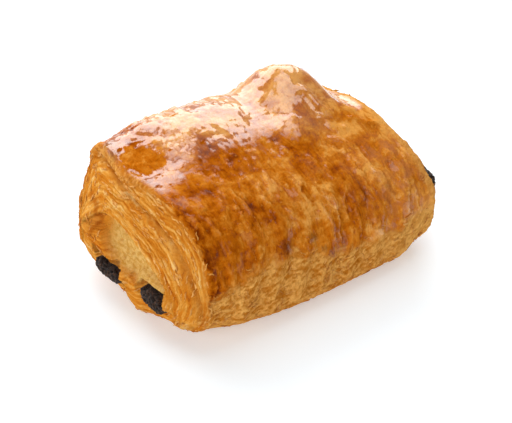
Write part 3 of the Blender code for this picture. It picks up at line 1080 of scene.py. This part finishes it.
# The matt foot: level, weights, and the strength of each of its tones
FOOT_LEVEL = 0.18
FOOT_WEIGHTS = {'patch': 0.8, 'fine': 0.9}
FOOT_EDGE_WEIGHT = 0.55
FOOT_TOAST = 0.25
# Paler towards the far end: partly a paler foot, partly painted light
FOOT_FAR_ZONE = ((10.0, 32.0), None)
FAR_FOOT_PALENESS_AND_LIGHT = 0.42
BACK_ZONE = (None, (17.0, 25.0))
FOOT_BACK_TAN = 0.5
BASE_TOAST = 0.5

# The layers: level, weights, and the strength of each of their tones. They are paler on the rises of
# their edges and darker in the gaps between them: partly the dough's own tones, partly painted shade.
TONE_LEVEL = 0.44
TONE_WEIGHTS = {'grain': 0.6, 'broad': 0.6}
TONE_STREAK = 2.3
RISE_PALENESS_AND_SHADE = 0.35
TOAST_STRENGTH = 0.30
GAP_TONE_AND_SHADE_STRENGTH = 0.80
RIM_TOAST = 0.40
CREASE_STRENGTH = 0.35
FLAP_PALENESS = 0.4
FLAP_EDGE = 0.7

# The crumb of the pocket, amber towards the back, and painted shade in the hollow above the back
# stick
POCKET_FRAY = {'grain': 10.0}
POCKET_BACK = 0.85
PORE_SHADE = -0.7
HOLLOW_SHADE_FRAY = {'grain': 0.8}
HOLLOW_SHADE_STRENGTH = 0.75


def weighted(at, weights):
    """Sum of noise fields, each about zero and times its weight."""
    total = 0.0
    for name, weight in weights.items():
        total = total + (getattr(at, name) - 0.5) * weight
    return total


def zone(graph, at, along, across):
    """0 to 1 over a run of x, of y or of both, in mm."""
    total = 1.0
    for run, value in ((along, at.x), (across, at.y)):
        if run:
            total = graph.ease(*run, value) * total
    return total


def pastry_fields(graph):
    """Place in mm, the marks of the roll, and the noise fields that its finish reads."""
    place = object_mm(graph)
    x, y, z = axes_of(graph, place)
    at = SimpleNamespace(place=place, x=x, y=y, z=z)
    for mark in PASTRY_MARKS:
        setattr(at, mark, mark_of(graph, mark))
    for name in ('broad', 'patch', 'fine', 'speck'):
        setattr(at, name, graph.field(place, name))
    along, around, up = STRAND_RATES
    strand_place = graph.combine(x * along, at.around * around, z * up)
    at.strand = graph.field(strand_place, 'strand')
    at.grain = graph.field(graph.vector('MULTIPLY', place, GRAIN_STRETCH), 'grain')
    level = (at.terrace * CHIP_STEPS + weighted(at, CHIP_FRAY)).floor()
    offset = graph.combine(level * CHIP_OFFSET[0], level * CHIP_OFFSET[1], 0.0)
    chip_place = graph.vector('ADD', graph.vector('MULTIPLY', place, CHIP_RATE), offset)
    at.chip = graph.field(chip_place, 'chip')

    at.cut = graph.edge('cut_colour', at.cut_line + weighted(at, CUT_FRAY))
    at.wash_line = at.wash_line + weighted(at, WASH_FRAY)
    bare_side = graph.edge('bare_front', y).at_least(graph.edge('bare_far', x))
    bare_rim = graph.edge('bare_rim', at.inset + weighted(at, RIM_FRAY)) * bare_side
    washed = graph.edge('washed_colour', at.wash_line) * (1.0 - at.base)
    at.washed = washed * (1.0 - bare_rim * RIM_BARENESS)
    rim_fade = graph.edge('glaze_rim', at.inset + weighted(at, GLAZE_FRAY))
    at.glazed = at.washed * (1.0 - at.cut) * rim_fade
    return at


def scorched(graph, place):
    """1 in the middle of the named scorch marks, 0 away from them."""
    total = None
    for x, y, z, radius in SCORCH_MARKS:
        middle = tuple(SLIDE / MM + (x, y, z))
        reach = graph.vector('DISTANCE', place, middle, 'Value')
        mark = graph.ease(*(radius * share for share in SCORCH_EDGE), reach)
        total = mark if total is None else total.at_least(mark)
    return total


def crust_colour(graph, at):
    """Browns of the glazed crust, leaf by leaf, with scorch marks and painted pink sheen in patches
    on the front at the right.
    """
    # Paler on the rises and darker in the hollows of the relief: partly paler leaf edges, partly
    # painted shade
    bake = weighted(at, BAKE_WEIGHTS) + BAKE_LEVEL - at.lift * LIFT_PALENESS_AND_SHADE - at.folds * FOLD_PALENESS_AND_SHADE
    for along, across, change in BAKE_ZONES:
        bake = bake + zone(graph, at, along, across) * change
    rim = graph.edge('bake_rim', at.inset) * graph.edge('bake_patch', (at.broad + at.patch) * 0.5)
    bake = bake + rim * graph.edge('bake_front', at.y) * BAKE_RIM
    bake = bake + graph.edge('bake_foot', at.wash_line) * BAKE_FOOT
    colour = graph.make('ShaderNodeValToRGB', {'stops': CRUST_STOPS}, {'Fac': bake})
    pale_leaf = graph.edge('pale_strand', at.strand) * graph.edge('pale_fine', at.fine)
    colour = graph.tint(pale_leaf * PALE_LEAF, colour, CRUST_STOPS[0][1])
    fray = graph.combine(*((getattr(at, name) - 0.5) * reach for name, reach in SCORCH_FRAY))
    scorch = scorched(graph, graph.vector('ADD', at.place, fray))
    colour = graph.tint(scorch * SCORCH_STRENGTH, colour, CRUST_BURNT)
    # Painted pink sheen in patches on the front at the right
    pink_sheen = graph.edge('pink_sheen', at.patch + at.strand * PINK_SHEEN_STRAND) * zone(graph, at, *PINK_SHEEN_ZONE)
    return graph.tint(pink_sheen * PINK_SHEEN_STRENGTH, colour, CRUST_PINK_SHEEN)


def foot_colour(graph, at):
    """Matt tans of the foot, where the egg wash doesn't reach."""
    tone = weighted(at, FOOT_WEIGHTS) + at.foot_edge * FOOT_EDGE_WEIGHT + FOOT_LEVEL
    colour = graph.tint(graph.edge('foot_tone', tone), FOOT_TAN, FOOT_PALE)
    colour = graph.tint(graph.edge('foot_toast', at.fine) * FOOT_TOAST, colour, FOOT_TOASTED)
    # Paler towards the far end: partly a paler foot, partly painted light
    colour = graph.tint(zone(graph, at, *FOOT_FAR_ZONE) * FAR_FOOT_PALENESS_AND_LIGHT, colour, FOOT_PALE)
    colour = graph.tint(zone(graph, at, *BACK_ZONE) * FOOT_BACK_TAN, colour, FOOT_TAN)
    return graph.tint(at.base * BASE_TOAST, colour, FOOT_TOASTED)


def layer_colour(graph, at):
    """Golds of the layers on the cut ends, with the crease and the flap; paler on the rises of the
    layers and darker in their gaps, partly painted shade.
    """
    tone = weighted(at, TONE_WEIGHTS) + TONE_LEVEL + at.streak * TONE_STREAK
    # Paler on the rises of the leaves: partly paler leaf edges, partly painted light
    tone = tone + at.broken * RISE_PALENESS_AND_SHADE
    colour = graph.make('ShaderNodeValToRGB', {'stops': LEAF_STOPS}, {'Fac': tone})
    toast = graph.edge('toast', graph.field(at.place, 'toast'))
    colour = graph.tint(toast * TOAST_STRENGTH, colour, LEAF_TOASTED)
    # Darker in the gaps between leaves: partly browned dough, partly painted shade
    gap = graph.edge('leaf_gap_tone_and_shade', at.broken) * graph.edge('gap_patch', at.patch)
    colour = graph.tint(gap * GAP_TONE_AND_SHADE_STRENGTH, colour, LEAF_GAP_TONE_AND_SHADE)
    colour = graph.tint(graph.edge('rim_toast', at.inset) * RIM_TOAST, colour, LEAF_TOASTED)
    return graph.tint(at.crease * CREASE_STRENGTH, colour, CREASE_LINE)


def crumb_colour(graph, at):
    """The pale crumb of the pocket, amber towards the back."""
    colour = graph.tint(graph.edge('crumb', at.grain), POCKET_CRUMB, POCKET_PALE)
    back = graph.edge('pocket_back', at.y + weighted(at, POCKET_FRAY)) * POCKET_BACK
    colour = graph.tint(back, colour, POCKET_AMBER)
    return graph.tint((at.pore * PORE_SHADE).at_most(1.0), colour, POCKET_CRUMB)


def cut_colour(graph, at):
    """Colours of the cut ends: layers, crumb, painted shade in the hollow, and flap."""
    colour = graph.tint(at.pocket, layer_colour(graph, at), crumb_colour(graph, at))
    # Painted shade darkens the hollow above the back stick
    hollow = graph.edge('hollow', at.hollow + weighted(at, HOLLOW_SHADE_FRAY))
    colour = graph.tint(hollow * HOLLOW_SHADE_STRENGTH, colour, HOLLOW_SHADE_BROWN)
    colour = graph.tint(at.flap * FLAP_PALENESS, colour, LEAF_STOPS[3][1])
    flap_edge = graph.edge('flap_outside', at.flap) * graph.edge('flap_inside', at.flap)
    return graph.tint(flap_edge * FLAP_EDGE, colour, LEAF_TOASTED)


# Where the glaze mirrors the studio: the front is duller, from an edge that runs further down at
# the near end and before the peak. Runs of x in mm, and how far the edge moves.
GLAZE_EDGE_RUNS = (((-15.0, -32.0), 4.0), ((3.0, 9.0), 4.5))
PEAK_RUN = (19.0, 15.0)
FRONT_FRAY = {'patch': 10.0}

# Amber gaps in the sheen: rates of the bands along and across, level, runs of x and their changes
BAND_RATES = (0.16, 0.42, 0.08)
BAND_DEPTH = 5.0
AMBER_LEVEL = 0.553
AMBER_RUNS = (((-18.0, -8.0), 0.095), ((0.0, 7.0), 0.15))
AMBER_BANDS = 0.6
AMBER_PATCH = 0.4
AMBER_FRAY = {'patch': 2.4}
LEAST_SHEEN = 0.78

# Shine of the front: rates of its patches, weights, and how much the brows of the folds have
SHINE_RATES = (0.42, 0.17)
SHINE_DEPTH = 7.0
SHINE_CHIP = 0.4
FRONT_GLOSS = 0.01
SHINE_GLOSS = 0.26
BROW_GLOSS = 0.25
NEAR_DULL = ((-12.0, -20.0), None, 0.55)
FAR_DULL = ((11.0, 18.0), (-14.0, -9.0), 0.45)
ROUGHNESS = 0.72
ROUGHNESS_GLAZE = 0.22
ROUGHNESS_WEIGHTS = {'fine': 0.25}
GLAZE_IOR = 2.1
GLAZE_ROUGHNESS = 0.09


def glaze_weight(graph, at):
    """How strongly the egg wash mirrors the studio."""
    edge = at.y + weighted(at, FRONT_FRAY)
    (near_run, near_shift), (peak_run, peak_shift) = GLAZE_EDGE_RUNS
    peak = graph.ease(*peak_run, at.x) * graph.ease(*PEAK_RUN, at.x)
    shifted = edge + graph.ease(*near_run, at.x) * near_shift + peak * peak_shift
    front = graph.edge('glaze_front', shifted).at_least(graph.edge('glaze_back', edge))
    along, across, slant = BAND_RATES
    band_place = graph.combine(at.x * along, at.y * across + at.x * slant, BAND_DEPTH)
    bands = graph.field(band_place, 'bands') * AMBER_BANDS + at.patch * AMBER_PATCH - AMBER_LEVEL
    for run, change in AMBER_RUNS:
        bands = bands - graph.ease(*run, at.x) * change
    reach = graph.vector('DISTANCE', at.place, AMBER_HOLLOW[:3], 'Value') * (1.0 / AMBER_HOLLOW[3])
    hollow = graph.edge('amber_hollow', reach + weighted(at, AMBER_FRAY))
    amber = graph.edge('amber', bands).at_least(hollow)
    sheen = from_least(graph.edge('sheen', graph.field(band_place, 'sheen')), LEAST_SHEEN)

    shine_place = graph.combine(at.x * SHINE_RATES[0], at.around * SHINE_RATES[1], SHINE_DEPTH)
    shine = graph.field(shine_place, 'shine') * (1.0 - SHINE_CHIP) + at.chip * SHINE_CHIP
    shine = graph.edge('shine', shine)
    brow = graph.edge('brow', at.folds)
    clear = 1.0
    for along, across, change in (NEAR_DULL, FAR_DULL):
        clear = clear - zone(graph, at, along, across) * change
    front_gloss = (FRONT_GLOSS + shine * SHINE_GLOSS + brow * BROW_GLOSS) * clear * front
    return at.glazed * ((1.0 - amber) * (1.0 - front) * sheen + front_gloss)


# Fine relief in mm: leaf edges, bubbles and wrinkles of the glaze, skin, dust, and layer lines
BUMP_STEPS = 16.0
BUMP_FRAY = {'strand': 3.0, 'fine': 1.0}
BUMP_RISER = 0.18
LEAF_EDGE_BUMP = 0.06
BUBBLE_SCALE = 0.75
BUBBLE_SOFTNESS = 0.35
BUBBLE_BUMP = 0.04
WRINKLE_PLACE = ((0.55, 0.25), (-0.15, 0.85), 0.4)
WRINKLE_SHARPNESS = 6.0
WRINKLE_BUMP = 0.07
FINE_BUMP = (0.30, 0.22)
SKIN_BUMP = (0.16, 0.13)
DUST_BUMP = 0.03
LINE_RATES = (2.2, 0.12)
LINE_DEPTH = 3.0
LINE_BUMP = 0.30


def pastry_bump(graph, at):
    """Height in mm of what is too fine for the mesh. The glaze smooths the finest of it."""
    field = at.terrace * BUMP_STEPS + weighted(at, BUMP_FRAY)
    leaves = stepped(graph, field, BUMP_RISER) - field
    bubbles = graph.edge('bubble', graph.cells(at.place, BUBBLE_SCALE, BUBBLE_SOFTNESS))
    (xx, xy), (yx, yy), zz = WRINKLE_PLACE
    wrinkle_place = graph.combine(at.x * xx + at.y * xy, at.x * yx + at.y * yy, at.z * zz)
    wrinkles = 1.0 - ridged(graph.field(wrinkle_place, 'glaze_wrinkles'), WRINKLE_SHARPNESS)
    height = leaves * LEAF_EDGE_BUMP * (1.0 - at.cut)
    height = height + (bubbles * BUBBLE_BUMP + wrinkles * WRINKLE_BUMP) * at.glazed
    skin = graph.field(at.place, 'skin')
    for field, (bare, smoothed) in ((at.fine, FINE_BUMP), (skin, SKIN_BUMP)):
        height = height + (field - 0.5) * (bare - at.glazed * smoothed)
    height = height + (graph.field(at.place, 'dust') - 0.5) * DUST_BUMP
    line_place = graph.combine(at.leaf * LINE_RATES[0], at.around * LINE_RATES[1], LINE_DEPTH)
    lines = graph.field(line_place, 'layer_lines') - 0.5
    return height + lines * LINE_BUMP * at.cut


def baked_pastry():
    made, graph, shader = material('baked_pastry')
    at = pastry_fields(graph)
    outside = graph.tint(at.washed, foot_colour(graph, at), crust_colour(graph, at))
    join(graph, graph.tint(at.cut, outside, cut_colour(graph, at)), shader, 'Base Color')
    roughness = ROUGHNESS - at.glazed * ROUGHNESS_GLAZE + weighted(at, ROUGHNESS_WEIGHTS)
    join(graph, roughness, shader, 'Roughness')
    join(graph, glaze_weight(graph, at), shader, 'Coat Weight')
    shader.inputs['Specular IOR Level'].default_value = 0.0
    shader.inputs['Coat Roughness'].default_value = GLAZE_ROUGHNESS
    shader.inputs['Coat IOR'].default_value = GLAZE_IOR
    join(graph, bumped(graph, pastry_bump(graph, at)), shader, 'Normal')
    return made


CHOCOLATE_DARK = srgb(22, 14, 10)
CHOCOLATE_BROWN = srgb(66, 43, 32)
# Pale dusty brown specks: partly dust on the chocolate, partly painted highlights on its pits
CHOCOLATE_DUST_AND_HIGHLIGHT = srgb(122, 86, 62)
DUST_AND_HIGHLIGHT_STRENGTH = 0.60
CHOCOLATE_ROUGHNESS = (0.36, 0.35)
CHOCOLATE_SPECULAR = 0.40
CHOCOLATE_BUMP = 1.6


def dark_chocolate():
    made, graph, shader = material('rough_dark_chocolate')
    place = object_mm(graph)
    fine = graph.field(place, 'chocolate')
    # Specks of dust and painted highlights on the pits of the chocolate
    dust = graph.edge('chocolate_dust_and_highlight', graph.field(place, 'chocolate_dust_and_highlight'))
    colour = graph.tint(graph.edge('chocolate', fine), CHOCOLATE_DARK, CHOCOLATE_BROWN)
    colour = graph.tint(dust * DUST_AND_HIGHLIGHT_STRENGTH, colour, CHOCOLATE_DUST_AND_HIGHLIGHT)
    join(graph, colour, shader, 'Base Color')
    smoothest, range_of_fine = CHOCOLATE_ROUGHNESS
    join(graph, fine * range_of_fine + smoothest, shader, 'Roughness')
    shader.inputs['Specular IOR Level'].default_value = CHOCOLATE_SPECULAR
    height = (graph.field(place, 'chocolate_grit') - 0.5) * CHOCOLATE_BUMP
    join(graph, bumped(graph, height), shader, 'Normal')
    return made


def stick_surface(stick, taper, rings, columns):
    """A bar with rounded edges and softened ends, on rings of a sphere."""
    (x0, y0, z0), (x1, y1, z1), width, thickness = stick
    near = np.array((x0, y0, z0)) * MM
    run = np.array((x1, y1, z1)) * MM - near
    half_length = np.linalg.norm(run) / 2
    forward = run / (2 * half_length)
    sideways = np.cross((0.0, 0.0, 1.0), forward)
    sideways = sideways / np.linalg.norm(sideways)
    upward = np.cross(forward, sideways)
    cap = STICK_TIP_RINGS
    steps = np.concatenate((np.linspace(0, 1, cap), np.ones(rings - 2 * cap), np.linspace(1, 0, cap)))
    body = np.linspace(-1, 1, rings - 2 * cap + 2)[1:-1]
    along = np.concatenate((-np.ones(cap), body, np.ones(cap)))
    turn = np.linspace(0, 2 * np.pi, columns, endpoint=False)[None, :]
    rho = steps[:, None]
    tip = np.sign(along)[:, None] * STICK_TIP_LENGTH * (1 - rho ** STICK_TIP_POWER)
    length = along[:, None] * (half_length - STICK_TIP_LENGTH) + tip
    scale = rho * (1 - taper * ease(half_length - STICK_TAPER_LENGTH, half_length, np.abs(length)))
    across = width / 2 * MM * signed_power(np.cos(turn), 2 / STICK_WIDTH_POWER) * scale
    rise = thickness / 2 * MM * signed_power(np.sin(turn), 2 / STICK_THICKNESS_POWER) * scale
    middle = near + run / 2
    points = (middle + length[..., None] * forward + across[..., None] * sideways
              + rise[..., None] * upward) + SLIDE
    return points


STICK_SIZES = {'Pit Depth': 1.10, 'Wave Height': 0.70, 'Grain Height': 1.10}
PIT_SCALE = 0.75
PIT_SOFTNESS = 0.2
PIT_REACH = 0.42
WAVES_SUNK = 0.4


def stick_tree():
    tree, graph, size = modifier_tree('Chocolate pits', STICK_SIZES)
    place = place_in_mm(graph)
    pits = pitted(graph.cells(place, PIT_SCALE, PIT_SOFTNESS), PIT_REACH)
    waves = graph.field(place, 'stick_waves') - 0.5
    grains = graph.field(place, 'stick_grains') - 0.5
    height = pits * size['Pit Depth'] + waves * size['Wave Height'] + grains * size['Grain Height']
    height = height - size['Wave Height'] * WAVES_SUNK
    close_tree(graph, moved_out(graph, size['Geometry'], height))
    return tree


# One flake, one unit long: width, taper, sway and curl of the leaf
FLAKE_CELLS = (6, 2)
FLAKE_WIDTH = 0.17
FLAKE_TAPER = 0.80
FLAKE_TAPER_POWER = 2.5
FLAKE_SWAY = 0.06
FLAKE_SWAY_TURN = 7
FLAKE_CURL = 0.22
FLAKE_TILT = 0.35 * 0.12
FLAKE_THICKNESS = 0.03


def flake_leaf():
    """One thin curled sliver of a layer, one unit long."""
    bm = bmesh.new()
    bmesh.ops.create_grid(bm, x_segments=FLAKE_CELLS[0], y_segments=FLAKE_CELLS[1], size=0.5)
    for vert in bm.verts:
        x, y, _ = vert.co
        taper = 1.0 - FLAKE_TAPER * abs(2 * x) ** FLAKE_TAPER_POWER
        vert.co.y = y * FLAKE_WIDTH * taper + FLAKE_SWAY * math.sin(FLAKE_SWAY_TURN * x)
        vert.co.z = FLAKE_CURL * x * x + FLAKE_TILT * (2 * y + 1) * taper
    bmesh.ops.solidify(bm, geom=bm.faces[:], thickness=FLAKE_THICKNESS)
    bmesh.ops.recalc_face_normals(bm, faces=bm.faces)
    mesh = bpy.data.meshes.new('flake_leaf')
    bm.to_mesh(mesh)
    bm.free()
    return bpy.data.objects.new('flake_leaf', mesh)


FLAKE_SIZES = {'Flakes Per Square': 0.55, 'Smallest': 0.8, 'Largest': 2.6, 'Seed': 11}
FLAKE_MARKS = ('cut_line', 'near', 'pocket', 'wash_line', 'base', 'cell', 'chance')

# Share of the flakes in each place, and the turn and tilt of a flake in radians
LEAST_FLAKES = 0.15
FAR_CUT_SHARE = 0.45
POCKET_BARENESS = 0.8
RIM_SHARES = (0.3, 0.9)
FOOT_SHARE = 0.6
FLAKE_VEER = 1.7
VEER_LOST_ON_CUT = 1.45
FLAKE_TIP_UP = 0.5


def chance_between(graph, low, high, seed):
    return graph.make('FunctionNodeRandomValue', {'data_type': 'FLOAT'},
                      {2: low, 3: high, 'Seed': seed}, 1)


def flakes_tree(leaf, finish):
    """Flakes on the points whose chance falls below what their marks allow."""
    tree, graph, size = modifier_tree('Loose flakes', FLAKE_SIZES)
    place = place_in_mm(graph)
    at = SimpleNamespace(**{mark: named(graph, mark) for mark in FLAKE_MARKS})
    cut = graph.edge('flake_cut', at.cut_line)
    bands = from_least(graph.edge('flake_bands', graph.field(place, 'flake_bands')), LEAST_FLAKES)
    on_cut = cut * (1.0 - at.pocket * POCKET_BARENESS) * from_least(at.near, FAR_CUT_SHARE)
    rim = graph.edge('flake_rim_out', at.cut_line) * graph.edge('flake_rim_in', at.cut_line)
    on_rim = rim * (RIM_SHARES[0] + at.near * RIM_SHARES[1])
    on_foot = (1.0 - cut) * graph.edge('flake_foot', at.wash_line) * (1.0 - at.base) * FOOT_SHARE
    wanted = (on_cut + on_foot + on_rim) * bands
    allowed = wanted * size['Flakes Per Square'] * at.cell
    chosen = graph.make('FunctionNodeCompare', {'operation': 'LESS_THAN'},
                        {0: at.chance, 1: allowed})
    normal = graph.make('GeometryNodeInputNormal')
    facing = graph.make('FunctionNodeAlignRotationToVector', {'axis': 'Z'}, {'Vector': normal})
    info = graph.make('GeometryNodeObjectInfo', None, {'Object': leaf}, 'Geometry')
    way = graph.combine(named(graph, 'way_x'), named(graph, 'way_y'), named(graph, 'way_z'))
    laid = graph.make('FunctionNodeAlignRotationToVector', {'axis': 'X', 'pivot_axis': 'Z'},
                      {'Rotation': facing, 'Vector': way})
    veer = chance_between(graph, -1.0, 1.0, size['Seed'] + 2.0)
    tip_up = chance_between(graph, -FLAKE_TIP_UP, FLAKE_TIP_UP, size['Seed'])
    spin = graph.combine(tip_up, 0.0, veer * (FLAKE_VEER - cut * VEER_LOST_ON_CUT))
    turned = graph.make('FunctionNodeRotateRotation', {'rotation_space': 'LOCAL'},
                        {0: laid, 1: spin})
    grow = chance_between(graph, size['Smallest'], size['Largest'], size['Seed'] + 1.0) * MM
    placed = graph.make('GeometryNodeInstanceOnPoints', None,
                        {'Points': size['Geometry'], 'Selection': chosen, 'Instance': info,
                         'Rotation': turned, 'Scale': grow})
    real = graph.make('GeometryNodeRealizeInstances', None, {'Geometry': placed})
    done = graph.make('GeometryNodeSetMaterial', None, {'Geometry': real, 'Material': finish})
    close_tree(graph, done)
    return tree


FLAKE_ON_CUT = (srgb(202, 126, 42), srgb(232, 174, 96))
FLAKE_ON_FOOT = (srgb(192, 118, 38), srgb(226, 164, 84))
FLAKE_ROUGHNESS = 0.6
FLAKE_SPECULAR = 0.1


def flake_finish():
    """The flakes take the tone of the place they lie on, a little paler."""
    made, graph, shader = material('flake_finish')
    tone = graph.edge('flake_tone', graph.field(object_mm(graph), 'flake_tone'))
    cut = graph.edge('flake_cut', mark_of(graph, 'cut_line'))
    colour = graph.tint(cut, graph.tint(tone, *FLAKE_ON_FOOT), graph.tint(tone, *FLAKE_ON_CUT))
    join(graph, colour, shader, 'Base Color')
    shader.inputs['Roughness'].default_value = FLAKE_ROUGHNESS
    shader.inputs['Specular IOR Level'].default_value = FLAKE_SPECULAR
    return made


def wear(piece, node):
    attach(piece, 'root')
    if node:
        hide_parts(node)


def keep_above_table(piece):
    for vert in piece.data.vertices:
        vert.co.z = max(vert.co.z, 0.0)


def make_pastry():
    points, marks = roll_surface(ring_positions(), COLUMNS)
    roll = reshaped_sphere('baked_roll', points, marks)
    finish = baked_pastry()
    grown(roll, relief_tree(), RELIEF_SIZES, finish)
    keep_above_table(roll)
    return roll


def make_flakes(roll):
    leaf = flake_leaf()
    bpy.context.scene.collection.objects.link(leaf)
    finish = flake_finish()
    flakes = bpy.data.objects.new('loose_flakes', roll.data.copy())
    grown(flakes, flakes_tree(leaf, finish), FLAKE_SIZES, finish)
    bpy.data.objects.remove(leaf)
    keep_above_table(flakes)
    return flakes


def make_sticks():
    chocolate = dark_chocolate()
    tree = stick_tree()
    made = []
    for name, stick, taper in (('stick_back', STICK_BACK, STICK_BACK_TAPER),
                               ('stick_front', STICK_FRONT, STICK_FRONT_TAPER)):
        points = stick_surface(stick, taper, STICK_RINGS, STICK_COLUMNS)
        bar = reshaped_sphere(name, points, {})
        grown(bar, tree, STICK_SIZES, chocolate)
        made.append(bar)
    return made


FLOOR_HALF_SIZE = 2.0
FLOOR_COLOUR = (0.70, 0.76, 0.80, 1.0)
FLOOR_ROUGHNESS = 0.9
FLOOR_SPECULAR = 0.1
FLOOR_GLOW = 0.36


def make_floor():
    bm = bmesh.new()
    bmesh.ops.create_grid(bm, x_segments=2, y_segments=2, size=FLOOR_HALF_SIZE)
    mesh = bpy.data.meshes.new('floor')
    bm.to_mesh(mesh)
    bm.free()
    floor = bpy.data.objects.new('floor', mesh)
    bpy.context.scene.collection.objects.link(floor)
    made, _, shader = material('pale_floor')
    shader.inputs['Base Color'].default_value = FLOOR_COLOUR
    shader.inputs['Roughness'].default_value = FLOOR_ROUGHNESS
    shader.inputs['Specular IOR Level'].default_value = FLOOR_SPECULAR
    shader.inputs['Emission Color'].default_value = (1.0, 1.0, 1.0, 1.0)
    shader.inputs['Emission Strength'].default_value = FLOOR_GLOW
    mesh.materials.append(made)
    return floor


VIEW_TURN = math.radians(-37.87)
VIEW_RISE = math.radians(35.14)
VIEW_DISTANCE = 0.5186
VIEW_AIM_HEIGHT = 14.8 * MM
VIEW_SHIFT_RIGHT = 0.462 * MM
VIEW_SHIFT_DOWN = 2.046 * MM
VIEW_SENSOR = 36.0
VIEW_FOCAL_PIXELS = 2200.0
VIEW_PIXELS = 512.0
VIEW_CLIP_START = 0.05


def make_camera():
    toward = Vector((math.sin(VIEW_TURN) * math.cos(VIEW_RISE),
                     -math.cos(VIEW_TURN) * math.cos(VIEW_RISE), math.sin(VIEW_RISE)))
    right = Vector((math.cos(VIEW_TURN), math.sin(VIEW_TURN), 0.0))
    upward = toward.cross(right)
    target = Vector(SLIDE) + Vector((0.0, 0.0, VIEW_AIM_HEIGHT))
    target = target + right * VIEW_SHIFT_RIGHT - upward * VIEW_SHIFT_DOWN
    turn = Matrix((right, upward, toward)).transposed().to_4x4()
    camera = bpy.data.cameras.new('camera')
    camera.lens = VIEW_SENSOR * VIEW_FOCAL_PIXELS / VIEW_PIXELS
    camera.sensor_width = VIEW_SENSOR
    camera.clip_start = VIEW_CLIP_START
    holder = bpy.data.objects.new('camera', camera)
    holder.matrix_world = Matrix.Translation(target + toward * VIEW_DISTANCE) @ turn
    bpy.context.scene.collection.objects.link(holder)
    bpy.context.scene.camera = holder


# Soft boxes: name, place and size in metres, power in watts. All aim at the roll.
LIGHTS_AIM = (0.0, 0.0, 0.015)
SOFT_LIGHTS = (
    ('back_box', (0.200, 0.612, 0.475), (1.10, 0.68), 7.2),
    ('top_box', (0.045, 0.010, 0.80), (0.64, 0.58), 2.1),
    ('side_box', (-0.68, -0.20, 0.30), (0.45, 0.45), 2.8),
    ('front_fill', (0.25, -0.70, 0.55), (0.60, 0.60), 1.2),
)


def soft_light(name, place, size, power):
    light = bpy.data.lights.new(name, 'AREA')
    light.shape = 'RECTANGLE'
    light.size, light.size_y = size
    light.energy = power
    holder = bpy.data.objects.new(name, light)
    turn = (Vector(LIGHTS_AIM) - Vector(place)).to_track_quat('-Z', 'Y').to_matrix().to_4x4()
    holder.matrix_world = Matrix.Translation(place) @ turn
    bpy.context.scene.collection.objects.link(holder)


WORLD_STOPS = tuple((place, (grey, grey, grey)) for place, grey in
                    ((0.0, 0.15), (0.5, 0.18), (0.8, 0.34), (1.0, 0.90)))
WORLD_BEHIND = (0.35, 0.92, 0.15)


def make_world():
    """A pale room that is darker on the viewer's side than behind the roll."""
    world = bpy.data.worlds.new('studio')
    world.use_nodes = True
    graph = Graph(world.node_tree)
    coordinates = graph.tree.nodes.new('ShaderNodeTexCoord')
    direction = Sum(graph, coordinates.outputs['Generated'])
    behind = graph.vector('DOT_PRODUCT', direction, WORLD_BEHIND, 'Value')
    tone = graph.make('ShaderNodeValToRGB', {'stops': WORLD_STOPS}, {'Fac': behind * 0.5 + 0.5})
    background = world.node_tree.nodes['Background']
    graph.tree.links.new(tone.socket, background.inputs['Color'])
    bpy.context.scene.world = world


def make_lights():
    for light in SOFT_LIGHTS:
        soft_light(*light)


def main():
    make_camera()
    make_world()
    make_lights()
    make_floor()
    roll = make_pastry()
    sticks = make_sticks()
    flakes = make_flakes(roll)
    wear(roll, 'pastry')
    wear(sticks[0], 'chocolate_stick_back')
    wear(sticks[1], 'chocolate_stick_front')
    wear(flakes, None)
    bpy.context.scene.view_settings.view_transform = 'Standard'


main()
